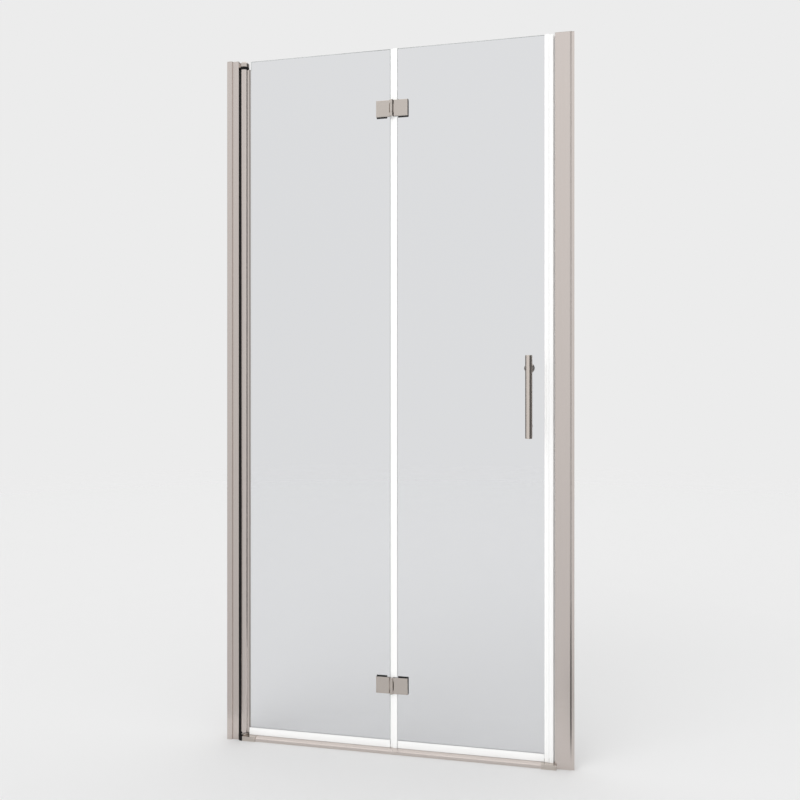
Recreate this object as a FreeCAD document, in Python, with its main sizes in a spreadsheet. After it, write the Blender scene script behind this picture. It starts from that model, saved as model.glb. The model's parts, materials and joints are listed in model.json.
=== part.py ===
import FreeCAD, Part
import os
import re
import Sketcher
from FreeCAD import Placement, Rotation, Vector

# Folding pivot shower door: two glass leaves between two wall profiles, in millimetres.
# +X runs right along the opening, +Y into the shower and +Z up. The origin lies on the tray, in the
# middle of the opening and of the glass thickness.

# Driving sizes: name, value, meaning
SIZES = [
    ("door_width", 1000, "wall to wall"),
    ("door_height", 2000, "tray to the top of the glass"),
    ("glass_thickness", 6, "both panes"),
    ("run_gap", 0.3, "flat gap between a turning face and its seat"),
    ("pin_fit", 0.05, "radial clearance of a turning pin"),
    ("tight_fit", 0.02, "radial clearance of a fixed pin or screw"),
    ("cover_thickness", 1.5, "top cover plates"),
    ("cover_peg", 8, "peg under a cover plate"),
    ("peg_width", 10, "peg along the opening"),
    ("profile_edge", 1.2, "edge radius of the aluminium profiles"),
    ("channel_wall", 2, "left wall channel"),
    ("left_channel_reach", 15.5, "left wall channel, out from the wall"),
    ("channel_lip", 4, "lip of the left wall channel, along the opening"),
    ("lip_step", 2.5, "lip thickness beyond the channel wall"),
    ("pivot_jamb_depth", 26, "pivot jamb, front to back"),
    ("pivot_jamb_wall", 2, "pivot jamb"),
    ("jamb_wall_gap", 5, "wall to the hidden edge of the pivot jamb"),
    ("pivot_from_wall", 48, "left wall to the pivot axis"),
    ("stile_radius", 12, "round pivot stile"),
    ("stile_wall", 2, "round pivot stile"),
    ("stile_gap", 0.5, "stile to its saddle seal"),
    ("saddle_web", 1, "saddle seal at its thinnest"),
    ("saddle_depth", 20, "saddle seal, front to back"),
    ("riser_front", 12.5, "riser of the seal foot, out to its front"),
    ("riser_back", 8, "riser of the seal foot, out to its back"),
    ("riser_lap", 1, "riser of the seal foot beside the saddle"),
    ("collar_gap", 0.5, "bush collar to the pivot jamb"),
    ("upper_collar", 7.7, "collar height of the top bush"),
    ("lower_collar", 1.7, "collar height of the bottom bush"),
    ("bush_length", 20, "bush inside the stile"),
    ("pivot_pin_radius", 4, "pivot pins"),
    ("pin_cover", 2, "block metal over the end of a pivot pin"),
    ("upper_block_height", 16, "top pivot block"),
    ("lower_block_height", 5.5, "bottom pivot block"),
    ("block_neck", 15, "pivot blocks at the jamb, front to back"),
    ("neck_drop", 6, "neck of the top pivot block below its nose"),
    ("nose_bevel", 5, "bevel round the top of the nose, inwards"),
    ("nose_slope", 5, "bevel round the top of the nose, downwards"),
    ("block_screw_radius", 1.5, "screws that hold the pivot blocks"),
    ("block_screw_spread", 9, "between the two screws of a block"),
    ("block_screw_length", 10, "screw inside the block"),
    ("screw_hole_gap", 0.2, "radial clearance of a screw in a plain hole"),
    ("screw_head_radius", 3.5, "pan heads"),
    ("screw_head_height", 2.4, "pan heads"),
    ("jaw_length", 3.5, "glass jaw beyond the round of the stile"),
    ("jaw_thickness", 1.2, "glass jaw"),
    ("jaw_sink", 1, "floor of the glass slot inside the round of the stile"),
    ("glazing_thickness", 0.8, "glazing gasket"),
    ("glazing_lip", 4.6, "glazing gasket beyond the room-side jaw"),
    ("glazing_inner_lip", 1, "glazing gasket beyond the inside jaw"),
    ("notch_gap", 8, "top pivot block to the pane notched beside it"),
    ("notch_drop", 1, "glass notch below the top of the stile"),
    ("sill_height", 13, "sill bar and its end caps"),
    ("sill_depth", 35, "sill bar, front to back"),
    ("sill_wall", 1.5, "hollow sill bar"),
    ("sill_run", 12.5, "sloping sides of the sill top, front to back"),
    ("sill_fall", 4.5, "fall of the sloping sides"),
    ("cap_proud", 2.5, "sill end caps in front of and behind the bar"),
    ("cap_edge", 0.8, "upper edge chamfer of the sill end caps"),
    ("foot_corner", 10, "outer corner radius of the seal foot"),
    ("wrap_corner", 4, "outer corner radius of the right sill cap"),
    ("cap_tongue", 12, "tongue of an end cap inside the bar"),
    ("tongue_gap", 0.3, "tongue to the inside of the bar"),
    ("left_cap_length", 39.3, "left sill cap, from the pivot axis"),
    ("right_cap_length", 37.2, "right sill cap, up to the strike jamb"),
    ("right_cap_wrap", 5, "right sill cap along the sides of the strike jamb"),
    ("right_channel_reach", 30, "right wall channel, out from the wall"),
    ("right_channel_depth", 18, "right wall channel, front to back"),
    ("right_channel_wall", 1.6, "flanges of the right wall channel"),
    ("right_channel_show", 7.2, "right wall channel left showing"),
    ("jamb_slack", 13.6, "strike jamb hollow beyond the right channel"),
    ("strike_jamb_wall", 2, "strike jamb"),
    ("jamb_band", 4.5, "sloping band along the wall edge of the strike jamb"),
    ("band_fall", 0.7, "fall of the sloping band"),
    ("seal_slot", 4, "depth of the seal chamber in the strike jamb"),
    ("seal_mouth", 2.6, "mouth of the seal chamber"),
    ("mouth_offset", 4, "mouth of the seal chamber behind the middle of the glass"),
    ("mouth_gap", 0.2, "strike seal neck in the mouth, each side"),
    ("barb_width", 8, "hidden head of the strike seal"),
    ("barb_depth", 2, "hidden head of the strike seal"),
    ("strike_neck", 4, "shadow gap between strike seal and jamb"),
    ("strike_body", 11.4, "strike seal along the opening"),
    ("magnet_seal_depth", 12, "magnet seals, front to back"),
    ("closing_gap", 0.6, "between the two magnet seals"),
    ("closing_body", 6.5, "closing seal beyond the glass"),
    ("magnet_thickness", 3, "magnet strips"),
    ("magnet_width", 8, "magnet strips, front to back"),
    ("magnet_cover", 1.5, "seal skin over a magnet strip"),
    ("seal_wall", 1.5, "seal legs on the glass"),
    ("closing_leg", 5.5, "closing seal over the glass"),
    ("centre_leg", 11, "centre seal over the glass"),
    ("centre_web", 1.5, "centre seal at the glass edge"),
    ("fin_gap", 0.7, "centre seal fin to the other pane"),
    ("fin_root", 5, "centre seal fin at its root"),
    ("fin_tip", 2.4, "centre seal fin at its tip"),
    ("sweep_gap", 0.3, "bottom seals over the sill caps"),
    ("seal_drop", 7.4, "bottom seal below the glass"),
    ("seal_leg", 14, "bottom seal over the glass"),
    ("seal_end_gap", 1, "bottom seal to what stands at its ends"),
    ("sweep_root", 4, "bottom fin at its root"),
    ("sweep_tip", 1.6, "bottom fin at its tip"),
    ("sweep_shoulder", 2.5, "bottom seal body above the fin"),
    ("drip_reach", 4, "drip lip beyond the seal leg"),
    ("drip_thickness", 1.2, "drip lip"),
    ("fold_from_middle", 6, "fold axis left of the middle"),
    ("glass_gap", 10, "between the panes"),
    ("hinge_from_end", 170, "hinge centre to the end of the glass"),
    ("hinge_height", 46, "hinge plates"),
    ("pivot_reach", 45, "fold axis to the outer edge of a hinge plate on the pivot leaf"),
    ("folding_reach", 47.2, "fold axis to the outer edge of a hinge plate on the folding leaf"),
    ("front_plate", 4, "room-side hinge plate"),
    ("rear_plate", 5, "inside hinge plate"),
    ("rear_plate_width", 30, "inside hinge plate"),
    ("plate_edge", 1, "edge chamfer of the hinge plates"),
    ("hinge_gasket", 2, "gasket between plate and glass"),
    ("gasket_inset", 0.2, "gasket edge inside the plate edge"),
    ("gasket_lip", 2, "inside gasket above and below its plate"),
    ("gasket_near", 3.6, "gasket under a room-side plate, from the fold axis"),
    ("knuckle_radius", 5, "hinge barrel"),
    ("knuckle_gap", 0.8, "barrel to the plate of the other leaf"),
    ("middle_knuckle", 24.6, "height of the middle knuckle"),
    ("knuckle_space", 0.4, "between knuckles"),
    ("hinge_pin_radius", 2.5, "hinge pins"),
    ("hinge_screw_radius", 3, "hinge screws"),
    ("hinge_screw_from_edge", 15, "hinge screw to the outer edge of a plate"),
    ("hinge_screw_spread", 24, "between the two screws of a plate"),
    ("hinge_screw_bite", 3, "hinge screw inside the room-side plate"),
    ("countersink_radius", 5.5, "hinge screw head"),
    ("glass_hole_radius", 6, "holes in the panes"),
    ("hinge_seal_gap", 1, "centre seal to a hinge"),
    ("handle_inset", 46.7, "handle to the closing edge of the glass"),
    ("handle_height", 1010, "middle of the handle"),
    ("bar_radius", 9.5, "handle bar"),
    ("bar_length", 225, "handle bar"),
    ("bar_edge", 1, "edge radius of the bar ends"),
    ("bar_clear", 32, "glass to the handle bar"),
    ("fixing_spacing", 160, "between the handle posts"),
    ("post_radius", 8, "handle posts"),
    ("washer_thickness", 1, "handle washers"),
    ("stud_radius", 3, "handle studs"),
    ("stud_bite", 10, "stud inside a post"),
    ("stud_inside", 5, "stud inside the knob or cap"),
    ("knob_radius", 14.5, "inside knob"),
    ("knob_stem", 8, "neck radius of the inside knob"),
    ("knob_neck", 10, "neck length of the inside knob"),
    ("knob_flare", 6, "cone between neck and rim"),
    ("knob_rim", 8, "rim of the inside knob"),
    ("knob_edge", 1.5, "outer edge of the inside knob"),
    ("end_cap_radius", 9, "inside cap of the lower fixing"),
    ("end_cap_depth", 7, "inside cap of the lower fixing"),
    ("wall_hole_radius", 2.5, "holes for the wall screws"),
    ("outer_wall_holes", 1700, "between the outer wall holes"),
    ("inner_wall_holes", 600, "between the inner wall holes"),
    ("jamb_screw_radius", 1.75, "adjusting screws"),
    ("jamb_screw_span", 1600, "between the outer adjusting screws"),
    ("jamb_screw_tip", 3, "screw tip beyond the inner wall"),
    ("strike_screw_inset", 15.8, "adjusting screw to the edge of the strike jamb"),
    ("screw_cap_radius", 5, "cover caps of the adjusting screws"),
    ("screw_cap_wall", 1, "cover caps of the adjusting screws"),
]

# Places worked out from the driving sizes, as text for the expression engine
LEFT_WALL = "(-door_width / 2)"
RIGHT_WALL = "(door_width / 2)"
MIDDLE_HEIGHT = "(door_height / 2)"
PROFILE_TOP = "(door_height - cover_thickness)"
GLASS_FACE = "(glass_thickness / 2)"
SEAL_FACE = "(glass_thickness / 2 + seal_wall)"
PIVOT_X = "(pivot_from_wall - door_width / 2)"
COLLAR_RADIUS = "(stile_radius + stile_gap + saddle_web - collar_gap)"
BORE_RADIUS = "(stile_radius - stile_wall)"
PIVOT_JAMB_FACE = f"({PIVOT_X} - stile_radius - stile_gap - saddle_web)"
PIVOT_JAMB_SIDE = "(pivot_jamb_depth / 2)"
LEFT_CHANNEL_SIDE = "(pivot_jamb_depth / 2 + channel_wall + lip_step)"
LEFT_CHANNEL_END = f"({LEFT_WALL} + left_channel_reach)"
CAP_TOP = "sill_height"
CAP_SIDE = "(sill_depth / 2 + cap_proud)"
LOWER_BLOCK_TOP = f"({CAP_TOP} + lower_block_height)"
UPPER_BLOCK_BOTTOM = "(door_height - upper_block_height)"
STILE_BOTTOM = f"({LOWER_BLOCK_TOP} + run_gap + lower_collar)"
STILE_TOP = f"({UPPER_BLOCK_BOTTOM} - run_gap - upper_collar)"
JAW_END = f"({PIVOT_X} + stile_radius + jaw_length)"
SLOT_FLOOR = f"({PIVOT_X} + stile_radius - jaw_sink)"
SLOT_SIDE = "(glass_thickness / 2 + glazing_thickness)"
SEAL_BOTTOM = f"({CAP_TOP} + sweep_gap)"
GLASS_BOTTOM = f"({SEAL_BOTTOM} + seal_drop)"
SEAL_TOP = f"({GLASS_BOTTOM} + seal_leg)"
FOLD_X = "(-fold_from_middle)"
FOLD_Y = "(-glass_thickness / 2 - hinge_gasket - front_plate)"
PIVOT_PANE_EDGE = f"({FOLD_X} - glass_gap / 2)"
FOLDING_PANE_EDGE = f"({FOLD_X} + glass_gap / 2)"
STRIKE_JAMB_FACE = f"({RIGHT_WALL} - right_channel_reach - jamb_slack - strike_jamb_wall * 2 - seal_slot)"
STRIKE_JAMB_SIDE = "(right_channel_depth / 2 + strike_jamb_wall)"
STRIKE_JAMB_END = f"({RIGHT_WALL} - right_channel_show)"
STRIKE_BACK = f"({STRIKE_JAMB_FACE} - strike_neck)"
STRIKE_FRONT = f"({STRIKE_BACK} - strike_body)"
SILL_LEFT = f"({PIVOT_X} + left_cap_length)"
SILL_RIGHT = f"({STRIKE_JAMB_FACE} - right_cap_length)"
CLOSING_FRONT = f"({STRIKE_FRONT} - closing_gap)"
CLOSING_PANE_EDGE = f"({CLOSING_FRONT} - closing_body)"
UPPER_HINGE = "(door_height - hinge_from_end)"
LOWER_HINGE = f"({GLASS_BOTTOM} + hinge_from_end)"
HANDLE_X = f"({CLOSING_PANE_EDGE} - handle_inset)"
BAR_Y = "(-glass_thickness / 2 - bar_clear - bar_radius)"
UPPER_FIXING = "(handle_height + fixing_spacing / 2)"
LOWER_FIXING = "(handle_height - fixing_spacing / 2)"
HINGE_REACH = {"-": "pivot_reach", "+": "folding_reach"}
PLATE_SEAT = "(glass_thickness / 2 + hinge_gasket)"
REAR_FACE = "(glass_thickness / 2 + hinge_gasket + rear_plate)"
COUNTERSINK = (f"({REAR_FACE} - countersink_radius + hinge_screw_radius)", REAR_FACE)
WASHER_FACE = "(glass_thickness / 2 + washer_thickness)"
LEFT_SCREW_X = f"({LEFT_CHANNEL_END} - channel_lip / 2)"
RIGHT_SCREW_X = f"({STRIKE_JAMB_END} - strike_screw_inset)"
BLOCK_SCREW_HEIGHTS = {"top": "(door_height - (upper_block_height + neck_drop) / 2)",
                       "bottom": f"({CAP_TOP} + lower_block_height / 2)"}
WALL_HOLES = [f"({MIDDLE_HEIGHT} {sign} {spread} / 2)"
              for spread in ("outer_wall_holes", "inner_wall_holes") for sign in "-+"]
JAMB_SCREWS = [f"({MIDDLE_HEIGHT} {shift})"
               for shift in ("- jamb_screw_span / 2", "", "+ jamb_screw_span / 2")]

AXES = {"x": Vector(1, 0, 0), "y": Vector(0, 1, 0), "z": Vector(0, 0, 1)}
PLANE_NORMALS = {"XY_Plane": "z", "YZ_Plane": "x"}
# How near two places are one, and the points that an edge is tested at
SAME_PLACE = 0.0001
EDGE_POINTS = 5

doc = FreeCAD.newDocument("ShowerDoor")
nodes = []


def make_sheet():
    """The sheet of driving sizes: name, value and meaning on each row."""
    sheet = doc.addObject("Spreadsheet::Sheet", "Sizes")
    for row, (name, value, meaning) in enumerate(SIZES, start=1):
        sheet.set(f"A{row}", name)
        sheet.set(f"B{row}", str(value))
        sheet.setAlias(f"B{row}", name)
        sheet.set(f"C{row}", meaning)
    doc.recompute()


def sized(text):
    """An expression whose size names point at their cells."""
    return re.sub(r"[a-z_]+", lambda word: f"Sizes.{word.group()}", text)


def bind(item, name, text):
    item.setExpression(name, sized(text))


def minus(text):
    return f"(-{text})"


def both_sides(text):
    """The span from one side of the middle plane to the other."""
    return minus(text), text


def node(item):
    """Marks an object as a finished sub-part, named by its label."""
    item.Label = item.Name
    nodes.append(item)
    return item


def box(name, x_span, y_span, z_span):
    """A block between two places on each axis."""
    item = doc.addObject("Part::Box", name)
    for side, axis, (low, high) in zip(("Length", "Width", "Height"), "xyz", (x_span, y_span, z_span)):
        bind(item, side, f"{high} - ({low})")
        bind(item, f"Placement.Base.{axis}", low)
    return item


def lay(item, axis, span, centre):
    """Lays a round primitive along an axis: its span there, and its centre on the other two axes."""
    item.Placement = Placement(Vector(), Rotation(AXES["z"], AXES[axis]))
    bind(item, "Height", f"{span[1]} - ({span[0]})")
    bind(item, f"Placement.Base.{axis}", span[0])
    for other, place in zip([letter for letter in "xyz" if letter != axis], centre):
        bind(item, f"Placement.Base.{other}", place)
    return item


def rod(name, radius, axis, span, centre):
    item = doc.addObject("Part::Cylinder", name)
    bind(item, "Radius", radius)
    return lay(item, axis, span, centre)


def taper(name, first_radius, last_radius, axis, span, centre):
    item = doc.addObject("Part::Cone", name)
    bind(item, "Radius1", first_radius)
    bind(item, "Radius2", last_radius)
    return lay(item, axis, span, centre)


def fuse(name, items):
    item = doc.addObject("Part::MultiFuse", name)
    item.Shapes = items
    return item


def group(name, items):
    """Separate solids that share one sub-part."""
    item = doc.addObject("Part::Compound", name)
    item.Links = items
    return item


def cut(name, base, tools):
    item = doc.addObject("Part::Cut", name)
    item.Base = base
    item.Tool = tools[0] if len(tools) == 1 else fuse(f"{name}_tools", tools)
    return item


def outline_sketch(body, plane, outline):
    """A sketch of straight sides through places given as expressions."""
    sketch = body.newObject("Sketcher::SketchObject", f"{body.Name}_outline")
    support = next(item for item in body.Origin.OriginFeatures if item.Role == plane)
    sketch.AttachmentSupport = [(support, "")]
    sketch.MapMode = "FlatFace"
    corners = [Vector(*(body.evalExpression(sized(place)) for place in places), 0) for places in outline]
    for here, following in zip(corners, corners[1:] + corners[:1]):
        sketch.addGeometry(Part.LineSegment(here, following), False)
    for line, (places, corner) in enumerate(zip(outline, corners)):
        sketch.addConstraint(Sketcher.Constraint("Coincident", line, 2, (line + 1) % len(corners), 1))
        for kind, place, value in zip(("DistanceX", "DistanceY"), places, corner):
            number = sketch.addConstraint(Sketcher.Constraint(kind, -1, 1, line, 1, value))
            bind(sketch, f"Constraints[{number}]", place)
    return sketch


def extrusion(name, plane, outline, span):
    """A body padded from an outline on its own plane, between two places along the plane's normal."""
    body = doc.addObject("PartDesign::Body", name)
    pad = body.newObject("PartDesign::Pad", f"{name}_pad")
    pad.Profile = outline_sketch(body, plane, outline)
    bind(pad, "Length", f"{span[1]} - ({span[0]})")
    bind(body, f"Placement.Base.{PLANE_NORMALS[plane]}", span[0])
    return body


def plan_box(name, x_span, y_span, z_span):
    """A rectangular body, for blocks whose edges are dressed afterwards."""
    (left, right), (front, back) = x_span, y_span
    outline = [(left, front), (right, front), (right, back), (left, back)]
    return extrusion(name, "XY_Plane", outline, z_span)


def dress(body, kind, size_name, size, wanted):
    """Rounds or chamfers those edges of a body that the test picks."""
    doc.recompute()
    base = body.Tip
    names = [f"Edge{number}" for number, edge in enumerate(base.Shape.Edges, start=1) if wanted(edge)]
    item = body.newObject(f"PartDesign::{kind}", f"{body.Name}_{kind.lower()}")
    item.Base = (base, names)
    bind(item, size_name, size)
    return body


def span_of(edge, axis):
    """The low and high end of an edge along an axis."""
    places = [getattr(point, axis) for point in edge.discretize(EDGE_POINTS)]
    return min(places), max(places)


def lies_at(edge, **places):
    """Whether an edge lies wholly at each given place, such as x=3."""
    ends = [(span_of(edge, axis), place) for axis, place in places.items()]
    return all(place - low < SAME_PLACE and high - place < SAME_PLACE for (low, high), place in ends)


def value(text):
    return doc.Sizes.evalExpression(text)


def round_upright(body, radius, corners):
    """Rounds the upright edges that stand at the given (x, y) places."""
    spots = [(value(x), value(y)) for x, y in corners]
    return dress(body, "Fillet", "Radius", radius,
                 lambda edge: any(lies_at(edge, x=x, y=y) for x, y in spots))


def make_left_wall_channel():
    """C-shaped channel on the left wall, with lips that hold the pivot jamb and holes for wall screws."""
    side, inner, lip = LEFT_CHANNEL_SIDE, f"({LEFT_CHANNEL_SIDE} - channel_wall)", PIVOT_JAMB_SIDE
    end, lip_start = LEFT_CHANNEL_END, f"({LEFT_CHANNEL_END} - channel_lip)"
    web = f"({LEFT_WALL} + channel_wall)"
    front_half = [(LEFT_WALL, side), (end, side), (end, lip), (lip_start, lip), (lip_start, inner),
                  (web, inner)]
    outline = [(x, minus(y)) for x, y in front_half] + front_half[::-1]
    body = extrusion("channel_section", "XY_Plane", outline, ("0", PROFILE_TOP))
    round_upright(body, "profile_edge", [(end, minus(side)), (end, side)])
    holes = [rod(f"left_wall_hole_{number}", "wall_hole_radius", "x", (LEFT_WALL, web), ("0", height))
             for number, height in enumerate(WALL_HOLES)]
    screws = [rod(f"left_lip_hole_{number}", "jamb_screw_radius + screw_hole_gap", "y", (lip, side),
                  (LEFT_SCREW_X, height)) for number, height in enumerate(JAMB_SCREWS)]
    node(cut("left_wall_channel", body, holes + screws))


def block_screw_places(end):
    """The (y, z) places of the two screws of a pivot block."""
    return [(f"({sign}block_screw_spread / 2)", BLOCK_SCREW_HEIGHTS[end]) for sign in ("-", "")]


def make_pivot_jamb():
    """U-shaped jamb that slides in the left channel and carries the pivot blocks on its closed face."""
    start, face = f"({LEFT_WALL} + jamb_wall_gap)", PIVOT_JAMB_FACE
    web = f"({PIVOT_JAMB_FACE} - pivot_jamb_wall)"
    side, inner = PIVOT_JAMB_SIDE, f"({PIVOT_JAMB_SIDE} - pivot_jamb_wall)"
    front_half = [(face, side), (start, side), (start, inner), (web, inner)]
    outline = front_half + [(x, minus(y)) for x, y in front_half[::-1]]
    body = extrusion("pivot_jamb_section", "XY_Plane", outline, ("0", PROFILE_TOP))
    round_upright(body, "profile_edge", [(face, minus(side)), (face, side)])
    places = block_screw_places("top") + block_screw_places("bottom")
    holes = [rod(f"block_screw_hole_{number}", "block_screw_radius + screw_hole_gap", "x", (web, face),
                 place) for number, place in enumerate(places)]
    screws = [rod(f"pivot_jamb_hole_{number}", "jamb_screw_radius + tight_fit", "y", (inner, side),
                  (LEFT_SCREW_X, height)) for number, height in enumerate(JAMB_SCREWS)]
    node(cut("pivot_jamb", body, holes + screws))


def make_pivot_seal():
    """Saddle-shaped seal hollowed to the round of the stile, on a foot between pivot jamb and sill cap."""
    x_span, start = (PIVOT_JAMB_FACE, PIVOT_X), f"({STILE_BOTTOM} + stile_gap)"
    block = box("saddle_block", x_span, both_sides("(saddle_depth / 2)"),
                (start, f"({STILE_TOP} - stile_gap)"))
    hollow = rod("saddle_hollow", "stile_radius + stile_gap", "z", (STILE_BOTTOM, STILE_TOP),
                 (PIVOT_X, "0"))
    rise = (CAP_TOP, f"({start} + riser_lap)")
    riser = box("riser_block", x_span, (minus("riser_front"), minus("riser_back")), rise)
    clear = rod("riser_hollow", f"{COLLAR_RADIUS} + stile_gap", "z", rise, (PIVOT_X, "0"))
    foot = plan_box("seal_foot", x_span, both_sides(CAP_SIDE), ("0", CAP_TOP))
    round_upright(foot, "foot_corner", [(PIVOT_JAMB_FACE, y) for y in both_sides(CAP_SIDE)])
    node(fuse("pivot_seal", [cut("saddle", block, [hollow]), cut("riser", riser, [clear]), foot]))


def make_pivot_block(end, neck_span, nose, pin_span):
    """A block with a round nose about the pivot axis, its pivot pin and the screws from inside the jamb."""
    neck = box(f"{end}_neck", (PIVOT_JAMB_FACE, PIVOT_X), both_sides("(block_neck / 2)"), neck_span)
    pin_hole = rod(f"{end}_pin_hole", "pivot_pin_radius + tight_fit", "z", pin_span, (PIVOT_X, "0"))
    screw_end = f"({PIVOT_JAMB_FACE} + block_screw_length)"
    thread_span = (PIVOT_JAMB_FACE, screw_end)
    places = block_screw_places(end)
    threads = [rod(f"{end}_thread_{number}", "block_screw_radius + tight_fit", "x", thread_span, place)
               for number, place in enumerate(places)]
    solid = fuse(f"{end}_block_solid", [neck] + nose)
    node(cut(f"{end}_pivot_block", solid, [pin_hole] + threads))
    head_face = f"({PIVOT_JAMB_FACE} - pivot_jamb_wall)"
    head_span = (f"({head_face} - screw_head_height)", head_face)
    screws = []
    for number, place in enumerate(places):
        shank = rod(f"{end}_shank_{number}", "block_screw_radius", "x", (head_face, screw_end), place)
        head = rod(f"{end}_head_{number}", "screw_head_radius", "x", head_span, place)
        screws.append(fuse(f"{end}_block_screw_{number}", [shank, head]))
    node(group(f"{end}_block_screws", screws))


def make_pivot_ends():
    """Both pivot blocks, their pins, and the bushes pressed into the ends of the stile."""
    upper_pin = (f"({STILE_TOP} - bush_length + pin_cover)", "(door_height - pin_cover)")
    lower_pin = (f"({CAP_TOP} + pin_cover)", f"({STILE_BOTTOM} + bush_length - pin_cover)")
    centre, bevel_start = (PIVOT_X, "0"), "(door_height - nose_slope)"
    upper_nose = [rod("top_nose", COLLAR_RADIUS, "z", (UPPER_BLOCK_BOTTOM, bevel_start), centre),
                  taper("top_bevel", COLLAR_RADIUS, f"{COLLAR_RADIUS} - nose_bevel", "z",
                        (bevel_start, "door_height"), centre)]
    make_pivot_block("top", (UPPER_BLOCK_BOTTOM, "(door_height - neck_drop)"), upper_nose, upper_pin)
    lower_block = (CAP_TOP, LOWER_BLOCK_TOP)
    lower_nose = [rod("bottom_nose", COLLAR_RADIUS, "z", lower_block, centre)]
    make_pivot_block("bottom", lower_block, lower_nose, lower_pin)
    for end, pin_span in (("top", upper_pin), ("bottom", lower_pin)):
        node(rod(f"{end}_pivot_pin", "pivot_pin_radius", "z", pin_span, centre))
    make_bush("top", COLLAR_RADIUS, (STILE_TOP, f"({STILE_TOP} + upper_collar)"),
              (f"({STILE_TOP} - bush_length)", STILE_TOP))
    make_bush("bottom", "stile_radius", (f"({STILE_BOTTOM} - lower_collar)", STILE_BOTTOM),
              (STILE_BOTTOM, f"({STILE_BOTTOM} + bush_length)"))


def make_bush(end, collar_radius, collar_span, plug_span):
    """A plastic bush: a collar outside the stile, a plug inside it and a bore for the pivot pin."""
    centre = (PIVOT_X, "0")
    collar = rod(f"{end}_collar", collar_radius, "z", collar_span, centre)
    plug = rod(f"{end}_plug", f"{BORE_RADIUS} - tight_fit", "z", plug_span, centre)
    low = min(collar_span[0], plug_span[0], key=value)
    high = max(collar_span[1], plug_span[1], key=value)
    bore = rod(f"{end}_bush_bore", "pivot_pin_radius + pin_fit", "z", (low, high), centre)
    node(cut(f"{end}_bush", fuse(f"{end}_bush_solid", [collar, plug]), [bore]))


def make_pivot_stile():
    """Round hollow stile with two jaws that grip the pane through the glazing gasket."""
    span = (STILE_BOTTOM, STILE_TOP)
    tube = rod("stile_tube", "stile_radius", "z", span, (PIVOT_X, "0"))
    jaws = box("stile_jaws", (PIVOT_X, JAW_END), both_sides(f"({SLOT_SIDE} + jaw_thickness)"), span)
    bore = rod("stile_bore", BORE_RADIUS, "z", span, (PIVOT_X, "0"))
    slot = box("stile_slot", (SLOT_FLOOR, JAW_END), both_sides(SLOT_SIDE), span)
    node(cut("pivot_stile", fuse("stile_solid", [tube, jaws]), [bore, slot]))
    floor, pane = SLOT_FLOOR, f"({SLOT_FLOOR} + glazing_thickness)"
    room_end, inside_end = f"({JAW_END} + glazing_lip)", f"({JAW_END} + glazing_inner_lip)"
    outline = [
        (floor, minus(SLOT_SIDE)), (room_end, minus(SLOT_SIDE)), (room_end, minus(GLASS_FACE)),
        (pane, minus(GLASS_FACE)), (pane, GLASS_FACE), (inside_end, GLASS_FACE), (inside_end, SLOT_SIDE),
        (floor, SLOT_SIDE),
    ]
    node(extrusion("glazing_gasket", "XY_Plane", outline, (SEAL_TOP, STILE_TOP)))


def hinge_screw_places(sign):
    """The (x, z) places of one leaf's screws in both hinges, on the left (-) or right (+) leaf."""
    across = f"({FOLD_X} {sign} ({HINGE_REACH[sign]} - hinge_screw_from_edge))"
    return {hinge: [(across, f"({height} {shift} hinge_screw_spread / 2)") for shift in "-+"]
            for hinge, height in (("upper", UPPER_HINGE), ("lower", LOWER_HINGE))}


def glass_holes(name, places):
    return [rod(f"{name}_hole_{number}", "glass_hole_radius", "y", both_sides(GLASS_FACE), place)
            for number, place in enumerate(places)]


def make_panes():
    """The pivot pane, notched beside the top pivot block, and the folding pane, drilled for the handle."""
    upright = (GLASS_BOTTOM, "door_height")
    start = f"({SLOT_FLOOR} + glazing_thickness)"
    pane = box("pivot_pane_sheet", (start, PIVOT_PANE_EDGE), both_sides(GLASS_FACE), upright)
    notch = box("pivot_pane_notch", (start, f"({PIVOT_X} + {COLLAR_RADIUS} + notch_gap)"),
                both_sides(GLASS_FACE), (f"({STILE_TOP} - notch_drop)", "door_height"))
    places = hinge_screw_places("-")
    node(cut("pivot_glass", pane, [notch] + glass_holes("pivot_pane", places["upper"] + places["lower"])))
    pane = box("folding_pane_sheet", (FOLDING_PANE_EDGE, CLOSING_PANE_EDGE), both_sides(GLASS_FACE),
               upright)
    places = hinge_screw_places("+")
    drilled = places["upper"] + places["lower"] + [(HANDLE_X, UPPER_FIXING), (HANDLE_X, LOWER_FIXING)]
    node(cut("folding_glass", pane, glass_holes("folding_pane", drilled)))


def make_bottom_seal(name, x_span):
    """Clip-on bottom seal with a fin flush with its room side and a drip lip towards the shower."""
    shoulder = f"({GLASS_BOTTOM} - sweep_shoulder)"
    drip_end = f"({SEAL_FACE} + drip_reach)"
    drip_low = f"({shoulder} - drip_reach)"
    outline = [
        (minus(SEAL_FACE), SEAL_TOP), (minus(GLASS_FACE), SEAL_TOP), (minus(GLASS_FACE), GLASS_BOTTOM),
        (GLASS_FACE, GLASS_BOTTOM), (GLASS_FACE, SEAL_TOP), (SEAL_FACE, SEAL_TOP), (SEAL_FACE, shoulder),
        (drip_end, f"({drip_low} + drip_thickness)"), (drip_end, drip_low),
        (f"({SEAL_FACE} - drip_thickness)", f"({shoulder} - drip_thickness)"),
        (f"(sweep_root - {SEAL_FACE})", f"({shoulder} - drip_thickness)"),
        (f"(sweep_tip - {SEAL_FACE})", SEAL_BOTTOM), (minus(SEAL_FACE), SEAL_BOTTOM),
    ]
    node(extrusion(name, "YZ_Plane", outline, x_span))


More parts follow.
